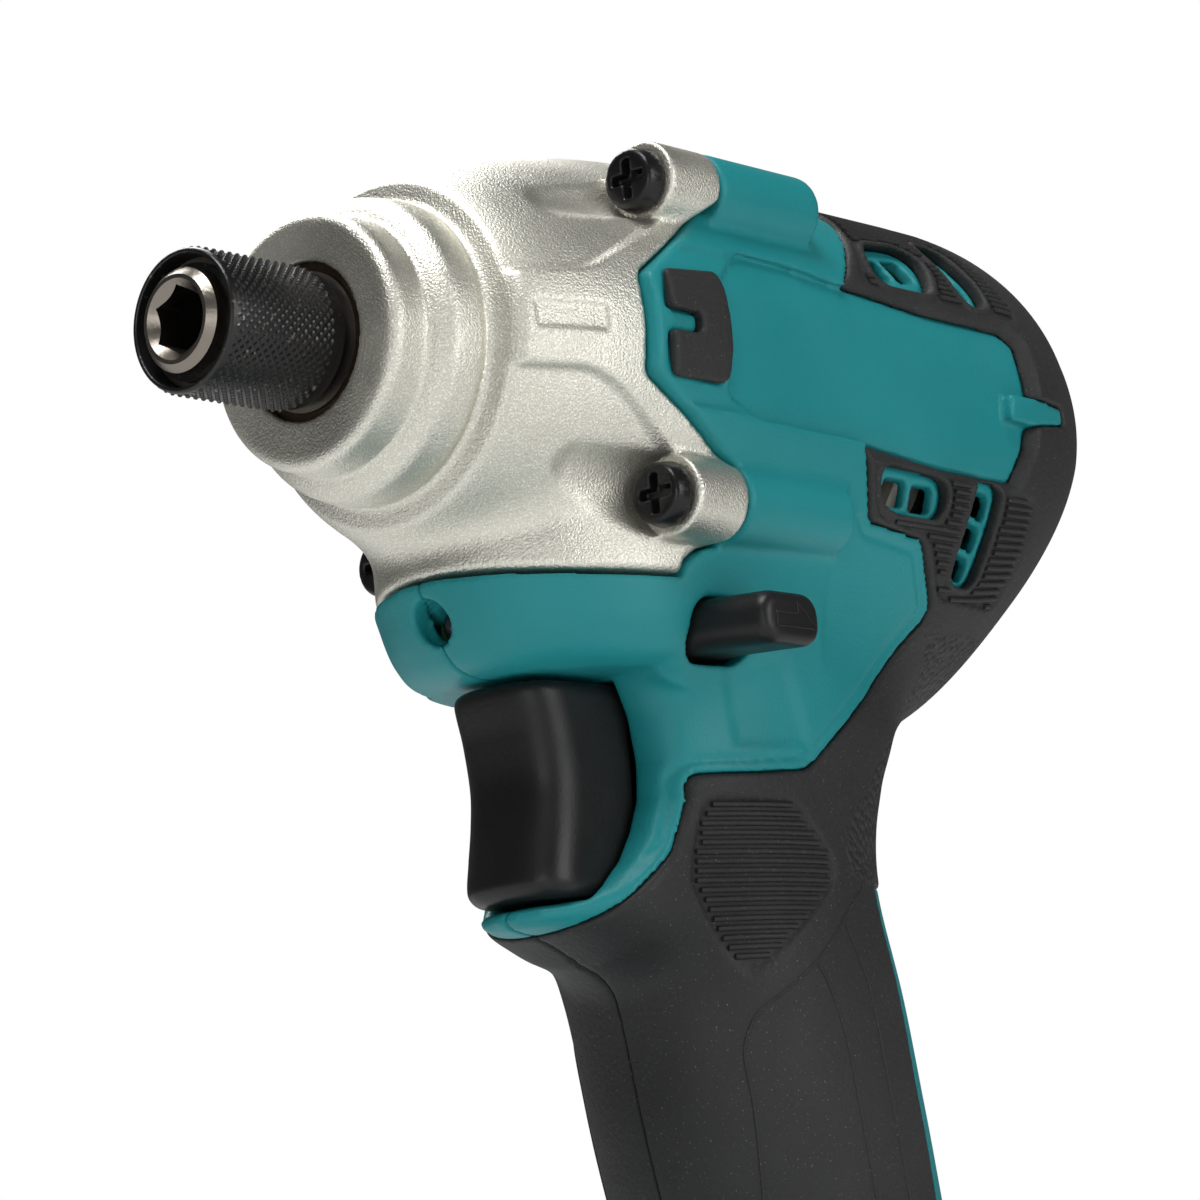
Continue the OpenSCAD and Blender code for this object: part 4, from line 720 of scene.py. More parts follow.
def finish(name, colour, rough, metal=0.0, vary=0.1, grain=220.0, depth=0.12, fleck=None, fleck_scale=900.0,
           fleck_from=0.66, rough_vary=0.1, patch_scale=35.0, pebble=False, gleam=0.5):
    """A procedural finish: patchy tone, uneven gloss, fine grain and scattered flecks."""
    mat = bpy.data.materials.new(name)
    mat.use_nodes = True
    tree = mat.node_tree
    nodes, links = tree.nodes, tree.links
    shader = nodes["Principled BSDF"]
    where = nodes.new("ShaderNodeTexCoord").outputs["Object"]
    shader.inputs["Metallic"].default_value = metal
    shader.inputs["Specular IOR Level"].default_value = gleam

    def noise(scale, detail=3.0):
        node = nodes.new("ShaderNodeTexNoise")
        node.inputs["Scale"].default_value = scale
        node.inputs["Detail"].default_value = detail
        links.new(where, node.inputs["Vector"])
        return node.outputs["Fac"]

    def remap(value, a, b, lo, hi):
        node = nodes.new("ShaderNodeMapRange")
        for i, v in enumerate((a, b, lo, hi)):
            node.inputs[i + 1].default_value = v
        links.new(value, node.inputs[0])
        return node.outputs[0]

    def mix(factor, a, b):
        node = nodes.new("ShaderNodeMix")
        node.data_type = "RGBA"
        for socket, v in ((node.inputs[0], factor), (node.inputs[6], a), (node.inputs[7], b)):
            if isinstance(v, bpy.types.NodeSocket):
                links.new(v, socket)
            else:
                socket.default_value = v
        return node.outputs[2]

    dark = tuple(c * (1 - vary) for c in colour) + (1,)
    pale = tuple(min(1, c * (1 + vary) + 0.006) for c in colour) + (1,)
    tone = mix(remap(noise(patch_scale), 0.3, 0.7, 0, 1), dark, pale)
    if fleck is not None:
        spots = remap(noise(fleck_scale, 1.0), fleck_from, fleck_from + 0.08, 0, 1)
        tone = mix(spots, tone, tuple(fleck) + (1,))
    glossy, matt = max(0.02, rough - rough_vary), min(1, rough + rough_vary)
    gloss = remap(noise(patch_scale * 2.3), 0.25, 0.75, glossy, matt)
    bump = nodes.new("ShaderNodeBump")
    bump.inputs["Strength"].default_value = depth
    bump.inputs["Distance"].default_value = 0.0002
    height = noise(grain * 10, 2.0)
    if pebble:
        # pebbles where the mesh carries the web's mask
        cells = nodes.new("ShaderNodeTexVoronoi")
        cells.inputs["Scale"].default_value = 1000
        mask = nodes.new("ShaderNodeAttribute")
        mask.attribute_name = "web"
        part = nodes.new("ShaderNodeMix")
        wire(tree, (where, cells.inputs["Vector"]), (mask.outputs["Fac"], part.inputs[0]),
             (height, part.inputs[2]), (remap(cells.outputs["Distance"], 0.0, 0.7, 7.0, 0.0), part.inputs[3]))
        height = part.outputs[0]
    wire(tree, (tone, shader.inputs["Base Color"]), (gloss, shader.inputs["Roughness"]),
         (height, bump.inputs["Height"]), (bump.outputs["Normal"], shader.inputs["Normal"]))
    return mat


MATERIALS = {}
OUTSIDE = {}


def finish_of(slot):
    """The finish of one of the record's material slots, made once."""
    if slot in MATERIALS:
        return MATERIALS[slot]
    tint = bpy.context.scene.driver_finish
    recipes = {
        "teal_plastic": dict(colour=tuple(tint.shell), rough=0.46, vary=0.06, grain=260, depth=0.25,
                             rough_vary=0.06, gleam=0.28),
        "soft_grip": dict(colour=tuple(tint.skin), rough=0.6, vary=0.15, grain=170, depth=0.4, gleam=0.3,
                          fleck=(0.12, 0.12, 0.115), fleck_scale=4200, fleck_from=0.7, pebble=True),
        "cast_case": dict(colour=tuple(tint.case), rough=0.42, metal=0.95, vary=0.05, grain=400, depth=0.55,
                          fleck=(0.85, 0.83, 0.74), fleck_scale=5200, fleck_from=0.54),
        "black_plastic": dict(colour=(0.006, 0.006, 0.0062), rough=0.38, vary=0.15, grain=240, depth=0.12,
                              gleam=0.32),
        "black_screws": dict(colour=(0.02, 0.02, 0.021), rough=0.3, metal=0.7, vary=0.2, grain=260,
                             depth=0.15),
        "bronze": dict(colour=(0.07, 0.05, 0.03), rough=0.45, metal=0.9, vary=0.12),
        "steel": dict(colour=(0.24, 0.215, 0.185), rough=0.34, metal=1.0, vary=0.08),
        "black_steel": dict(colour=(0.035, 0.034, 0.034), rough=0.34, metal=0.85, vary=0.2, grain=240,
                            depth=0.2, fleck=(0.16, 0.145, 0.12), fleck_scale=1500),
        "magnets": dict(colour=(0.2, 0.2, 0.21), rough=0.4, metal=0.9, vary=0.1),
        "copper": dict(colour=(0.62, 0.28, 0.12), rough=0.3, metal=1.0, vary=0.15, patch_scale=120),
        "pale_plastic": dict(colour=(0.72, 0.7, 0.62), rough=0.5, vary=0.04),
        "circuit_board": dict(colour=(0.03, 0.16, 0.07), rough=0.4, vary=0.2, fleck=(0.35, 0.33, 0.2),
                              fleck_scale=700),
        "lamp_lens": dict(colour=(0.03, 0.031, 0.032), rough=0.12, vary=0.1, depth=0.03),
        "cell_sleeve": dict(colour=(0.08, 0.2, 0.33), rough=0.3, vary=0.08),
    }
    if slot not in recipes:
        raise RuntimeError("no finish for slot " + slot)
    MATERIALS[slot] = finish(slot, **recipes[slot])
    return MATERIALS[slot]


def place(obj, rides, slot, *nodes):
    """Seats a finished piece on its body and hides the CAD nodes it stands for; the slot is not used."""
    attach(obj, rides)
    if nodes:
        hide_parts(*nodes)
    return obj


def field_on(name, g, field, most, rides, slot, *nodes, **more):
    """A field as a piece on its body."""
    return place(field_piece(name, g, field, finish_of(slot), most, **more), rides, slot, *nodes)


# Geometry Nodes helpers

def tree_with(name, inputs):
    """A geometry tree with named inputs of (name, kind), its input node and the inputs' keys."""
    tree = bpy.data.node_groups.new(name, "GeometryNodeTree")
    for way in ("INPUT", "OUTPUT"):
        tree.interface.new_socket("Geometry", in_out=way, socket_type="NodeSocketGeometry")
    keys = {}
    for label, kind in inputs:
        socket = tree.interface.new_socket(label, in_out="INPUT", socket_type="NodeSocket" + kind)
        keys[label] = socket.identifier
    return tree, tree.nodes.new("NodeGroupInput"), keys


def end_tree(tree, geometry, material):
    """Ends a tree in Realize Instances and Set Material."""
    real = tree.nodes.new("GeometryNodeRealizeInstances")
    paint = tree.nodes.new("GeometryNodeSetMaterial")
    out = tree.nodes.new("NodeGroupOutput")
    wire(tree, (geometry, real.inputs[0]), (real.outputs[0], paint.inputs["Geometry"]),
         (material, paint.inputs["Material"]), (paint.outputs[0], out.inputs[0]))


def run_tree(obj, tree, keys, values):
    """Applies a tree to an object and leaves a plain mesh."""
    step = obj.modifiers.new(tree.name, "NODES")
    step.node_group = tree
    for label, value in values.items():
        step[keys[label]] = value
    return plain_mesh(obj)


def instance_tree():
    """Sets one shape on every point, turned so that its +Z follows the point's aim."""
    tree, start, keys = tree_with("Set On Points", [("Shape", "Object"), ("Finish", "Material")])
    info = tree.nodes.new("GeometryNodeObjectInfo")
    put = tree.nodes.new("GeometryNodeInstanceOnPoints")
    aim = tree.nodes.new("GeometryNodeInputNamedAttribute")
    aim.data_type = "FLOAT_VECTOR"
    aim.inputs["Name"].default_value = "aim"
    turn = tree.nodes.new("FunctionNodeAlignRotationToVector")
    turn.axis = "Z"
    wire(tree, (start.outputs["Shape"], info.inputs["Object"]),
         (start.outputs["Geometry"], put.inputs["Points"]),
         (info.outputs["Geometry"], put.inputs["Instance"]),
         (aim.outputs["Attribute"], turn.inputs["Vector"]),
         (turn.outputs["Rotation"], put.inputs["Rotation"]))
    end_tree(tree, put.outputs[0], start.outputs["Finish"])
    return tree, keys


def set_on_points(name, points, aims, shape, material):
    """One plain mesh of a shape repeated on points, in metres, each aimed along its own direction."""
    obj = new_object(name, [tuple(p) for p in points])
    aim = obj.data.attributes.new("aim", "FLOAT_VECTOR", "POINT")
    aim.data.foreach_set("vector", np.asarray(aims, dtype=np.float32).ravel())
    run_tree(obj, *instance_tree(), {"Shape": shape, "Finish": material})
    drop_object(shape)
    return obj


def rib_tree():
    """Round ribs along every line of the mesh."""
    inputs = [("Radius", "Float"), ("Sides", "Int"), ("Finish", "Material")]
    tree, start, keys = tree_with("Ribs On Lines", inputs)
    line = tree.nodes.new("GeometryNodeMeshToCurve")
    ring = tree.nodes.new("GeometryNodeCurvePrimitiveCircle")
    skin = tree.nodes.new("GeometryNodeCurveToMesh")
    skin.inputs["Fill Caps"].default_value = True
    smooth = tree.nodes.new("GeometryNodeSetShadeSmooth")
    wire(tree, (start.outputs["Geometry"], line.inputs["Mesh"]),
         (start.outputs["Radius"], ring.inputs["Radius"]),
         (start.outputs["Sides"], ring.inputs["Resolution"]), (line.outputs[0], skin.inputs["Curve"]),
         (ring.outputs[0], skin.inputs["Profile Curve"]), (skin.outputs[0], smooth.inputs[0]))
    end_tree(tree, smooth.outputs[0], start.outputs["Finish"])
    return tree, keys


def ribs_on(name, lines, radius, sides, rides, slot):
    """Ribs along polylines, in mm forward, left and up in the spindle's frame, as one piece on its body."""
    points, edges = [], []
    for line in lines:
        start = len(points)
        points.extend(line)
        edges.extend((start + i, start + i + 1) for i in range(len(line) - 1))
    ribs = new_object(name, in_metres(points), edges)
    run_tree(ribs, *rib_tree(), {"Radius": radius * MM, "Sides": sides, "Finish": finish_of(slot)})
    return place(ribs, rides, slot)


# Pieces

def colour_setting(label, note, default):
    """A colour in the panel."""
    return bpy.props.FloatVectorProperty(name=label, description=note, subtype="COLOR", size=3,
                                         default=default, min=0, max=1)


def size_setting(label, note, default, least, most, kind="NONE"):
    """A size in the panel."""
    return bpy.props.FloatProperty(name=label, description=note, default=default, min=least, max=most,
                                   subtype=kind)


class DriverFinish(bpy.types.PropertyGroup):
    """Colours of the outside."""
    shell: colour_setting("Shell", "Moulded shell", (0.009, 0.225, 0.243))
    skin: colour_setting("Soft skin", "Moulded-on grip", (0.02, 0.02, 0.0202))
    case: colour_setting("Hammer case", "Die-cast case", (0.66, 0.65, 0.575))


class DriverSizes(bpy.types.PropertyGroup):
    """Fineness and surface sizes."""
    shell_step: size_setting("Shell step", "Sampling step of the moulded shell in mm", 0.36, 0.3, 1.5)
    case_step: size_setting("Case step", "Sampling step of the cast case in mm", 0.3, 0.2, 1.0)
    small_step: size_setting("Small step", "Sampling step of small pieces in mm", 0.2, 0.1, 0.5)
    ridge_pitch: size_setting("Ridge pitch", "Spacing of the ridges on the soft skin",
                              0.00085, 0.0006, 0.0015, "DISTANCE")
    knurl_columns: bpy.props.IntProperty(name="Knurl columns", description="Knurl points round the sleeve",
                                         default=44, min=24, max=80)
    knurl_rise: size_setting("Knurl rise", "Height of a knurl point", 0.00026, 0.00005, 0.0005, "DISTANCE")


class DRIVER_OT_shell(bpy.types.Operator):
    """Moulded housing halves and the soft skin on them"""
    bl_idname = "driver.shell"
    bl_label = "Housing and soft skin"

    def execute(self, context):
        g = Space((30.5, 138), (-0.9, 35), (-147, 28), context.scene.driver_sizes.shell_step, -64)
        shell = Shell(g)
        for side, right in (("left", False), ("right", True)):
            half = dict(smooth=1, mirrored=right)
            field_on("Housing_" + side, g, housing_field(g, shell, right), 196000, "housing", "teal_plastic",
                     "housing_" + side, **half)
            field = skin_field(g, shell, right)
            skin = field_piece("Soft_skin_" + side, g, field, finish_of("soft_grip"), 170000, **half)
            at = (points_of(skin) - np.array(NOSE)) / MM
            mask = step_up(outline(-at[:, 0], at[:, 2], WEB), 1.0)
            web = skin.data.attributes.new("web", "FLOAT", "POINT")
            web.data.foreach_set("value", mask.astype(np.float32))
            place(skin, "housing", "soft_grip", "overmould_" + side)
        OUTSIDE["shell"] = g, shell.outer
        return {"FINISHED"}


class DRIVER_OT_ridges(bpy.types.Operator):
    """Ridges and raised lines on the soft skin"""
    bl_idname = "driver.ridges"
    bl_label = "Ridges"

    def execute(self, context):
        g, outer = OUTSIDE["shell"]
        pitch = context.scene.driver_sizes.ridge_pitch / MM
        # rows on the barrel fan out about the spindle, rows on the grip lie level
        turn = pitch / 27
        low = [(np.arange(80, 119, 0.7), 0.0, -math.asin(11 / 27) - i * turn) for i in range(26)]
        high = [(np.arange(84, 116, 0.7), 0.0, math.asin(10.2 / 26) + i * turn) for i in range(20)]
        level = [(np.arange(55, 79, 0.7), -49.3 - i * pitch * 1.2, 0.0) for i in range(19)]
        lines = surface_lines(g, outer, 0.0, low, [RIDGED_LOW] + FRAMES)
        lines += surface_lines(g, outer, 0.0, high, [RIDGED_TOP] + FRAMES)
        lines += surface_lines(g, outer, 0.0, level, [RIDGED_GRIP])
        seams = []
        for path in GRIP_LINES:
            s, z = np.asarray(path).T
            heights = np.arange(z[0], z[-1], -0.8)
            seams.append((glide(heights, z[::-1], s[::-1]), heights, 0.0))
        seams = surface_lines(g, outer, 0.24, seams, [SKIN])
        kinds = (("Ridges_", lines, pitch * 0.37, 8), ("Grip_lines_", seams, 0.2, 6))
        for side, sign in (("left", 1), ("right", -1)):
            for name, rows, radius, sides in kinds:
                rows = [[(x, sign * y, z) for x, y, z in row] for row in rows]
                ribs_on(name + side, rows, radius, sides, "housing", "soft_grip")
        return {"FINISHED"}


class DRIVER_OT_pads(bpy.types.Operator):
    """Rubber pads on the prows beside the case"""
    bl_idname = "driver.pads"
    bl_label = "Side pads"

    def execute(self, context):
        g = Space((45, 57), (24.5, 29), (-7.5, 8.5), context.scene.driver_sizes.small_step)
        d = meet(outline(g.s, g.z, PAD) + 0.05, even(g, barrel(g)) - 0.4, 0.5)
        d = np.maximum(d, 25.3 - g.y)
        soft = finish_of("soft_grip")
        halves = [field_piece("pad", g, d, soft, 20000, mirrored=right) for right in (False, True)]
        place(join("Side_pads", halves, soft), "housing", "soft_grip", "side_pads")
        return {"FINISHED"}


CASE_FRONT, BOSS_FRONT, FIELD_RISE, MARK_SUNK = 16.9, 49.4, 0.9, 0.35
# raised field on the case's side, seen from the left as (s, z)
CASE_FIELD = soften([(28.8, 5), (38, 5.9), (46.7, 10.6), (52, 14.4), (LAP, 17.4), (LAP, -17.4), (52, -14.6),
                     (47.5, -11.7), (41.2, -6.9), (37.5, -5.2), (28.8, -5.2)], 0.8)
# bores of the case as (front, rear, radius)
CASE_BORES = ((10, 18.2, 8.5), (17.9, 31.1, 10.02), (31, 38, 17.3), (37, 61, 20.7), (59.8, 70, 22.25))


def case_radius(s):
    """Outer radius of the cast case along the spindle."""
    return glide(s, (16.9, 21.4, 22.3, 23.2, 24, 27.1, 27.8, 28.4, 29, 29.7, 34, 40, 46, 53, 62.4),
                 (13.8, 13.9, 15, 15.9, 16.3, 16.6, 16.35, 17, 18.6, 19.2, 21, 22.7, 23.9, 25.2, 25.9))


def case_field(g):
    """Die-cast hammer case."""
    rise = FIELD_RISE * step_up(outline(g.s, g.z, CASE_FIELD), 0.7) * np.clip((g.s - 28.6) / 1.2, 0, 1)
    # plain sunk rectangle in place of cast marks
    mark = np.maximum(np.abs(g.s - 35.2) - 4.2, np.abs(g.z - 0.25) - 1.4)
    rise = rise - MARK_SUNK * step_up(mark, 0.5)
    d = (g.r - case_radius(g.s) - rise) * 0.93
    d = meet(d, CASE_FRONT - g.s, 1.6)
    skirt = meet(chin_side(g, 32.0, 19.6), skirt_edge(g.s) - g.z, 1.0)
    d = blend(d, np.maximum(skirt, np.maximum(g.z + 12, g.s - LAP)), 2.2)
    y, z, r = BOSSES
    for up in (-1, 1):
        scoop = rod(g, (38.4, y - 1.6, up * (z - 1.0)), (49.2, y, up * z), 3.7, 4.15)
        d = blend(d, spool(g, BOSS_FRONT, LAP - 0.05, r, y, up * z), 1.2)
        d = carve(d, np.maximum(scoop, g.s - BOSS_FRONT), 0.9)
        d = cut_out(d, spool(g, 36, 64, 1.95, y, up * z))
    d = np.maximum(meet(d, g.s - LAP, 0.3), skirt_edge(g.s) - g.z)
    prow = np.maximum(outline(g.s, g.z, PROW) - 0.28, 23.1 - g.r)
    d = np.minimum(carve(d, prow, 0.5), spool(g, LAP - 1.5, CASE_REAR, 23.05))
    return cut_out(d, *(spool(g, *bore) for bore in CASE_BORES))


class DRIVER_OT_case(bpy.types.Operator):
    """Die-cast hammer case"""
    bl_idname = "driver.hammer_case"
    bl_label = "Hammer case"

    def execute(self, context):
        g = Space((16, 63.2), (-27, 27), (-27, 27), context.scene.driver_sizes.case_step)
        field_on("Hammer_case", g, case_field(g), 190000, "housing", "cast_case", "hammer_case", smooth=1)
        return {"FINISHED"}


SCREW_STEP, SCREW_PITCH, THREAD_DEPTH = 0.22, 1.1, 0.16
CROSS_HALF, CROSS_REACH, CROSS_DEPTH = 0.55, 2.2, 1.5


def screw_shape(head_r, head_h, shank_r, shank_len):
    """Pan head screw along +Z with a cross recess in its head, in metres about its seat."""
    reach = (-head_r - 1, head_r + 1)
    g = Space(reach, reach, (-shank_len - 1, head_h + 1), SCREW_STEP)
    r = np.sqrt(g.s ** 2 + g.y ** 2)
    head = meet(np.maximum(r - head_r + 0.18 * np.clip(g.z, 0, 9), -g.z), g.z - head_h, 0.7)
    shank = np.maximum(r - shank_r, np.maximum(g.z - 0.5, -shank_len - g.z))
    climb = g.z + np.arctan2(g.y, g.s) / (2 * math.pi) * SCREW_PITCH
    thread = THREAD_DEPTH * np.cos(2 * math.pi * climb / SCREW_PITCH)
    d = np.minimum(head, shank - thread * (g.z < -1))
    across, along = np.abs(g.s), np.abs(g.y)
    cross = union(np.maximum(a - CROSS_HALF, b - CROSS_REACH) for a, b in ((across, along), (along, across)))
    d = carve(d, np.maximum(cross, head_h - CROSS_DEPTH - g.z), 0.2)
    points, quads = wrap(g, d, 1)
    obj = new_object("screw", points * MM, faces=quads.tolist())
    obj.data.shade_smooth()
    return thin_out(obj, 0.3)


class DRIVER_OT_screws(bpy.types.Operator):
    """Case screws at the front and housing screws on the right"""
    bl_idname = "driver.screws"
    bl_label = "Screws"

    def execute(self, context):
        dark = finish_of("black_screws")
        y, z, _ = BOSSES
        nose = [(-BOSS_FRONT, a * y, b * z) for a in (-1, 1) for b in (-1, 1)]
        side = [(-s, -depth, zz) for s, zz, depth in SCREWS]
        kinds = (("Nose_screws", nose, (1, 0, 0), (3.65, 2.3, 1.55, 22), "case_screws"),
                 ("Housing_screws", side, (0, -1, 0), (3.0, 2.2, 1.35, 18), "housing_screws"))
        for name, spots, aim, sizes, node in kinds:
            spots = [NOSE + Vector(spot) * MM for spot in spots]
            screws = set_on_points(name, spots, [aim] * len(spots), screw_shape(*sizes), dark)
            place(screws, "housing", "black_screws", node)
        return {"FINISHED"}


def lathe(name, profile, material, sides=160):
    """Closed profile of (radius, station) turned about the spindle."""
    p = np.asarray(profile, float)
    angle = np.linspace(0, 2 * math.pi, sides, endpoint=False)
    rings = [np.stack((np.full(sides, -s), r * np.cos(angle), r * np.sin(angle)), axis=1) for r, s in p]
    n = len(p)
    faces = []
    for i in range(n):
        j = (i + 1) % n
        for k in range(sides):
            m = (k + 1) % sides
            faces.append((i * sides + k, j * sides + k, j * sides + m, i * sides + m))
    area = np.sum(p[:, 0] * np.roll(p[:, 1], -1) - np.roll(p[:, 0], -1) * p[:, 1])
    if area < 0:
        faces = [f[::-1] for f in faces]
    return mesh_piece(name, np.concatenate(rings), faces, material)


# the sleeve's section as (radius, s), and the band of its knurl
SLEEVE = [(6.9, 0.25), (7.0, 0.06), (7.15, 0.0), (7.4, 0.12), (7.55, 0.5), (7.55, 14.5), (7.4, 14.7),
          (7.3, 16.1), (7.2, 16.2), (6.6, 16.2), (6.6, 13.6), (5.52, 13.6), (5.52, 10.5), (6.9, 10.5)]
KNURL_FRONT, KNURL_REAR, KNURL_RADIUS = 0.8, 14.5, 7.62


class DRIVER_OT_chuck(bpy.types.Operator):
    """Bit sleeve with its knurl"""
    bl_idname = "driver.chuck"
    bl_label = "Bit sleeve"

    def execute(self, context):
        sizes = context.scene.driver_sizes
        dark = finish_of("black_steel")
        sleeve = lathe("Bit_sleeve", SLEEVE, dark)
        columns = sizes.knurl_columns
        pitch = 2 * math.pi * KNURL_RADIUS / columns
        spots, aims = [], []
        for row in range(int((KNURL_REAR - KNURL_FRONT) / (pitch / 2))):
            s = KNURL_FRONT + pitch / 4 + row * pitch / 2
            for k in range(columns):
                a = 2 * math.pi * (k + 0.5 * (row % 2)) / columns
                aim = Vector((0, math.cos(a), math.sin(a)))
                spots.append(NOSE + Vector((-s * MM, 0, 0)) + aim * 7.5 * MM)
                aims.append(aim)
        # one diamond of the knurl, its flat end set into the sleeve
        corners = []
        for half, z in ((pitch / 2 * MM, -0.00015), (pitch / 2 * MM * 0.3, sizes.knurl_rise)):
            corners += [(half, 0, z), (0, half, z), (-half, 0, z), (0, -half, z)]
        walls = [(0, 1, 5, 4), (1, 2, 6, 5), (2, 3, 7, 6), (3, 0, 4, 7), (4, 5, 6, 7), (3, 2, 1, 0)]
        knurl = set_on_points("Sleeve_knurl", spots, aims, new_object("diamond", corners, faces=walls), dark)
        place(sleeve, "bit_sleeve", "black_steel", "bit_sleeve")
        place(knurl, "bit_sleeve", "black_steel")
        return {"FINISHED"}


def trigger_field(g):
    """Trigger with a hollow face, rounded corners and its plunger."""
    s0, s1, top, low, half = TRIGGER
    mid = (top + low) / 2
    front = s0 + glide(g.z, (low, low + 2, low + 5, low + 9, -46, -41, -37, top),
                       (0.5, 0.0, 0.5, 1.3, 1.7, 1.2, 0.3, 0.0))
    d = meet(front + 1.2 * (g.y / half) ** 2 - g.s, np.abs(g.y) - half, 4.2)
    d = np.maximum(meet(d, np.maximum(g.z - top, low - g.z), 1.8), g.s - s1)
    pocket = cut_out(spool(g, s1 - 8, s1 + 1, 4.4, 0, mid), spool(g, s1 - 9, s1 + 2, 1.8, 0, mid))
    return np.minimum(cut_out(d, pocket), spool(g, s1 - 9, 72, 1.8, 0, mid))


LEVER_END, LEVER_DROOP = 28.7, 0.07
# plain arrow on the lever's end, about its middle
ARROW, ARROW_DROP = [(-2.9, -1.1), (-2.9, 0.4), (0.6, 0.4), (0.6, 1.6), (3.9, -1.1), (-2.9, -1.1)], 0.6


def lever_field(g):
    """Reversing lever that passes through the neck, its left end turned down a little."""
    s, z, length, height = LEVER
    bent = Points(g.s, g.y, g.z + LEVER_DROOP * np.clip(g.y - 19, 0, None))
    end = LEVER_END - 0.012 * (g.s - s) ** 2
    bar = block(bent, s - length / 2, s + length / 2, -19.2, 40, z - height / 2, z + height / 2, 2.5)
    return meet(bar, g.y - end, 1.5)


class DRIVER_OT_controls(bpy.types.Operator):
    """Trigger, reversing lever and lamp"""
    bl_idname = "driver.controls"
    bl_label = "Trigger and lever"

    def execute(self, context):
        step = context.scene.driver_sizes.small_step
        g = Space((39, 73), (-8.4, 8.4), (-59.8, -34), step)
        field_on("Trigger", g, trigger_field(g), 40000, "trigger", "black_plastic", "trigger")
        g = Space((52, 65), (-20, 29.6), (-36, -26), step)
        field_on("Reverse_lever", g, lever_field(g), 40000, "reverse_lever", "black_plastic", "reverse_lever")
        # the arrow's line is laid on the lever's end by halving
        s, z = LEVER[0], LEVER[1] - ARROW_DROP
        sides = zip(ARROW, ARROW[1:])
        u, v = np.concatenate([np.linspace(a, b, 8)[:-1] for a, b in sides]).T
        inner, outer = np.full(len(u), 22.0), np.full(len(u), 30.0)
        for _ in range(20):
            middle = (inner + outer) / 2
            within = lever_field(Points(s + u, middle, z + v)) < 0
            inner, outer = np.where(within, middle, inner), np.where(within, outer, middle)
        loop = list(zip(-s - u, inner, z + v))
        ribs_on("Lever_arrow", [loop + loop[:1]], 0.12, 6, "reverse_lever", "black_plastic")
        z = LAMP[1]
        g = Space((34, 41), (-2.4, 2.4), (z - 2.4, z + 2.4), step)
        bulb = np.sqrt(g.y ** 2 + (g.z - z) ** 2 + (g.s - 37.6) ** 2) - 1.6
        lens = np.minimum(bulb, spool(g, 37, 40.2, 1.9, 0, z))
        field_on("Lamp_lens", g, lens, 12000, "housing", "lamp_lens", "led_lens")
        return {"FINISHED"}


PACK_LOW, PACK_SPLIT, PACK_TOP = -184.0, -165.0, -146.0
PACK_MIDDLE, PACK_HALF_LONG, PACK_HALF_WIDE, PACK_CORNER, PACK_WALL = 82, 56, 37.5, 9.0, 2.5
PACK_JOINT = 0.04
# screws from the pack's middle, and the half width of the release button's room
PACK_SCREW, BUTTON_ROOM = (51.4, 31.5), 15.4


def pack_side(g, inset=0.0):
    """Plan of the battery case, drawn inwards by an inset."""
    past = np.abs(g.s - PACK_MIDDLE) - PACK_HALF_LONG, np.abs(g.y) - PACK_HALF_WIDE
    return rounded(PACK_CORNER, *past) + inset


def pack_posts(g, z0, z1, radius):
    """Upright bars at the battery's four screws."""
    along, beside = PACK_SCREW
    return union(flat_bar(g.s - PACK_MIDDLE + a * along, g.y - b * beside, g.z, z0, z1, radius)
                 for a in (-1, 1) for b in (-1, 1))


def pack_lower(g):
    """Lower battery case, open above, with a groove round its base and pockets for the screws."""
    side = pack_side(g) + 0.5 * step_up(np.abs(g.z - PACK_LOW - 5.5) - 0.6, 0.6)
    d = meet(meet(side, PACK_LOW - g.z, 3.0), g.z - PACK_SPLIT + PACK_JOINT, 0.5)
    d = cut_out(d, np.maximum(pack_side(g, PACK_WALL), PACK_LOW + PACK_WALL - g.z))
    d = np.minimum(d, pack_posts(g, PACK_LOW + 0.8, PACK_SPLIT - PACK_JOINT, 3.4))
    return cut_out(d, pack_posts(g, -190, PACK_LOW + 3, 2.95), pack_posts(g, -190, -160, 1.75))


def pack_upper(g):
    """Upper battery case with its rails, blade slots and the seat of the release button."""
    hold = np.maximum(np.abs(g.s - 70) - 24, np.abs(g.z - PACK_SPLIT - 9) - 5.5)
    side = pack_side(g) + 0.55 * step_up(hold, 1.4) * (np.abs(g.y) > 30)
    d = meet(meet(side, g.z - PACK_TOP, 3.0), PACK_SPLIT + PACK_JOINT - g.z, 0.5)
    d = cut_out(d, np.maximum(pack_side(g, PACK_WALL), g.z - PACK_TOP + PACK_WALL))
    d = union((d, block(g, 36, 108, -22, 22, PACK_TOP - 1, PACK_TOP + 8, 0.4),
               block(g, 36, 108, -25, 25, PACK_TOP + 3.6, PACK_TOP + 8, 0.4),
               pack_posts(g, PACK_SPLIT + PACK_JOINT, PACK_TOP - 1, 3.4),
               block(g, 27.4, 37, -18, 18, PACK_TOP - 17.8, PACK_TOP - 0.6)))
    rooms = [block(g, s0, s1, -BUTTON_ROOM, BUTTON_ROOM, PACK_TOP - 16.3, PACK_TOP + 20)
             for s0, s1 in ((27.5, 34.3), (10, 28.1))]
    slots = [block(g, 87, 109.2, y - 2, y + 2, PACK_TOP - 3.5, PACK_TOP + 20) for y in (-14, 14)]
    return cut_out(d, pack_posts(g, -170, PACK_SPLIT + 10, 1.5), *rooms, *slots)


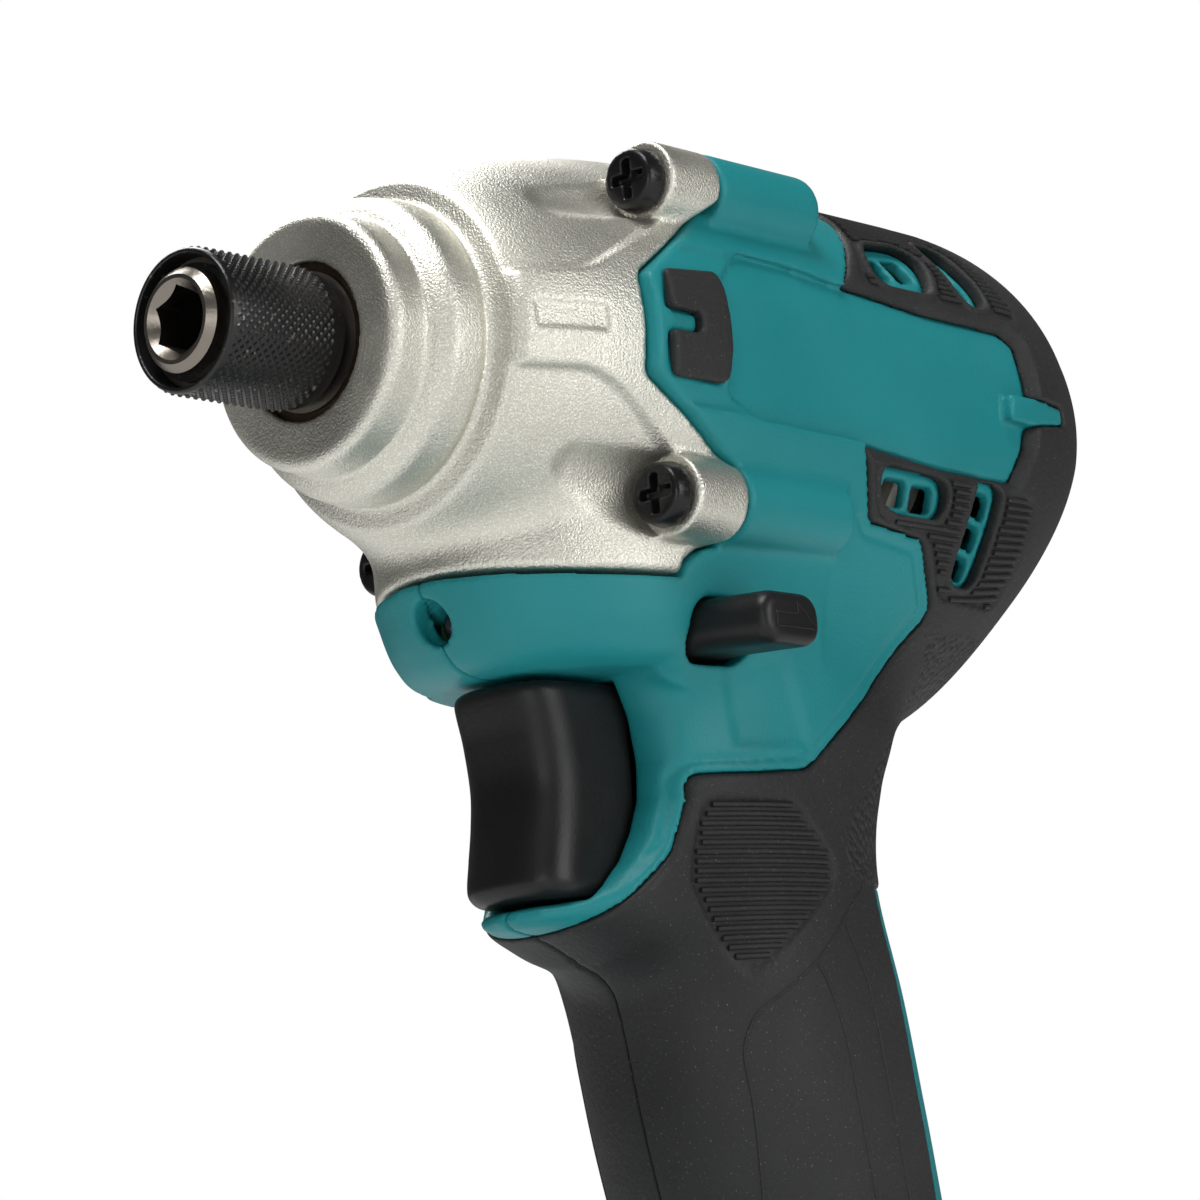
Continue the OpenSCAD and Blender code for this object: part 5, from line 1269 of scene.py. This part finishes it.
class DRIVER_OT_battery(bpy.types.Operator):
    """Battery cases and the ribs of their finger holds"""
    bl_idname = "driver.battery"
    bl_label = "Battery"

    def execute(self, context):
        step = context.scene.driver_sizes.case_step * 1.6
        halves = (("Battery_case_lower", pack_lower, PACK_LOW - 1, PACK_SPLIT + 1, 90000),
                  ("Battery_case_upper", pack_upper, PACK_SPLIT - 1, PACK_TOP + 9, 120000))
        for name, form, z0, z1, most in halves:
            g = Space((24.8, 139.2), (-38.8, 38.8), (z0, z1), step)
            field_on(name, g, form(g), most, "battery", "black_plastic", name.lower())
        rows = [[(-s, y, PACK_SPLIT + 5.2 + 1.5 * i) for s in (48, 92)]
                for i in range(6) for y in (-37.1, 37.1)]
        ribs_on("Battery_ribs", rows, 0.45, 8, "battery", "black_plastic")
        return {"FINISHED"}


class DRIVER_OT_inner(bpy.types.Operator):
    """Finishes of the pieces that keep their CAD shape"""
    bl_idname = "driver.inner"
    bl_label = "Mechanism finishes"

    def execute(self, context):
        parts = frame["record"]["subparts"]
        slots = {part["node"]: part["material_slot"] for part in parts if "material_slot" in part}
        for node, obj in frame["nodes"].items():
            slot = slots.get(node)
            if slot is None:
                raise RuntimeError("no slot for " + node)
            obj.data.materials.clear()
            obj.data.materials.append(finish_of(slot))
        return {"FINISHED"}


# camera as turn, rise and roll in degrees and as mm to the right of, above and behind the nose's centre
VIEW_TURN, VIEW_RISE, VIEW_ROLL = 131.0424, -10.5387, -4.8902
VIEW_RIGHT, VIEW_UP, VIEW_BACK = 42.5510, -28.4480, 406.4432
# lamps as (name, metres to the right of, above and before what they light, watts)
LIGHTS = (("Top", (-0.2, 1.0, 0.25), 8.0), ("Front", (-0.1, 0.1, 1.0), 2.0),
          ("Near side", (0.8, 0.35, 0.5), 3.4), ("Back", (-0.3, 0.7, -0.7), 6.5))
LIT_FROM_NOSE, LIGHT_SIZE, SOFT_LIGHT = (-0.055, 0, -0.04), 0.5, 0.1
FLOOR_HALF, FLOOR_DROP = 3, 0.0005


def studio_world():
    """White to the camera, also through glass, and soft light elsewhere."""
    world = bpy.data.worlds.new("Studio")
    world.use_nodes = True
    tree = world.node_tree
    tree.nodes.clear()
    out, soft, white, path, seen, mixer = (tree.nodes.new("ShaderNode" + kind) for kind in (
        "OutputWorld", "Background", "Background", "LightPath", "Math", "MixShader"))
    for shade in (soft, white):
        shade.inputs["Color"].default_value = (1, 1, 1, 1)
    soft.inputs["Strength"].default_value = SOFT_LIGHT
    seen.operation = "MAXIMUM"
    wire(tree, (path.outputs["Is Camera Ray"], seen.inputs[0]),
         (path.outputs["Is Transmission Ray"], seen.inputs[1]), (seen.outputs[0], mixer.inputs[0]),
         (soft.outputs[0], mixer.inputs[1]), (white.outputs[0], mixer.inputs[2]),
         (mixer.outputs[0], out.inputs[0]))
    return world


class DRIVER_OT_stage(bpy.types.Operator):
    """Floor, light and camera"""
    bl_idname = "driver.stage"
    bl_label = "Stage"

    def execute(self, context):
        scene = context.scene
        scene.view_settings.view_transform = "Standard"
        scene.world = studio_world()
        square = [(a * FLOOR_HALF, b * FLOOR_HALF, 0) for a, b in ((-1, -1), (1, -1), (1, 1), (-1, 1))]
        floor = new_object("Floor", square, faces=[(0, 1, 2, 3)])
        floor.data.materials.append(finish("Floor paper", (0.86, 0.86, 0.86), 0.8, vary=0.01, depth=0.05))
        floor.location.z = -FLOOR_DROP

        turn, rise, roll = (math.radians(a) for a in (VIEW_TURN, VIEW_RISE, VIEW_ROLL))
        back = Vector((math.sin(turn) * math.cos(rise), -math.cos(turn) * math.cos(rise), math.sin(rise)))
        right = Vector((0, 0, 1)).cross(back).normalized()
        up = back.cross(right)
        right, up = (right * math.cos(roll) + up * math.sin(roll),
                     up * math.cos(roll) - right * math.sin(roll))
        focus = NOSE + Vector(LIT_FROM_NOSE)
        for name, at, power in LIGHTS:
            lamp = bpy.data.lights.new(name, "AREA")
            lamp.energy = power
            lamp.size = LIGHT_SIZE
            holder = bpy.data.objects.new(name, lamp)
            holder.location = focus + right * at[0] + up * at[1] + back * at[2]
            holder.rotation_euler = (focus - holder.location).to_track_quat("-Z", "Y").to_euler()
            bpy.context.collection.objects.link(holder)

        lens = bpy.data.cameras.new("View")
        lens.lens = 120
        lens.sensor_width = 36
        lens.clip_start = 0.01
        camera = bpy.data.objects.new("View", lens)
        eye = NOSE + (back * VIEW_BACK + right * VIEW_RIGHT + up * VIEW_UP) * MM
        camera.matrix_world = Matrix.Translation(eye) @ Matrix((right, up, back)).transposed().to_4x4()
        bpy.context.collection.objects.link(camera)
        scene.camera = camera
        return {"FINISHED"}


class DRIVER_PT_panel(bpy.types.Panel):
    """Lists the pieces"""
    bl_label = "Impact Driver"
    bl_idname = "DRIVER_PT_panel"
    bl_space_type = "VIEW_3D"
    bl_region_type = "UI"
    bl_category = "Impact Driver"

    def draw(self, context):
        for group in (context.scene.driver_finish, context.scene.driver_sizes):
            for prop in group.bl_rna.properties:
                if prop.identifier not in ("rna_type", "name"):
                    self.layout.prop(group, prop.identifier)
        for operator in OPERATORS:
            self.layout.operator(operator.bl_idname)


OPERATORS = (DRIVER_OT_inner, DRIVER_OT_shell, DRIVER_OT_ridges, DRIVER_OT_pads, DRIVER_OT_case,
             DRIVER_OT_screws, DRIVER_OT_chuck, DRIVER_OT_controls, DRIVER_OT_battery, DRIVER_OT_stage)
CLASSES = (DriverFinish, DriverSizes) + OPERATORS + (DRIVER_PT_panel,)


def register():
    for cls in CLASSES:
        bpy.utils.register_class(cls)
    bpy.types.Scene.driver_finish = bpy.props.PointerProperty(type=DriverFinish)
    bpy.types.Scene.driver_sizes = bpy.props.PointerProperty(type=DriverSizes)


def unregister():
    del bpy.types.Scene.driver_sizes
    del bpy.types.Scene.driver_finish
    for cls in reversed(CLASSES):
        bpy.utils.unregister_class(cls)


def main():
    register()
    for operator in OPERATORS:
        getattr(bpy.ops.driver, operator.bl_idname.partition(".")[2])()


if __name__ == "__main__":
    main()
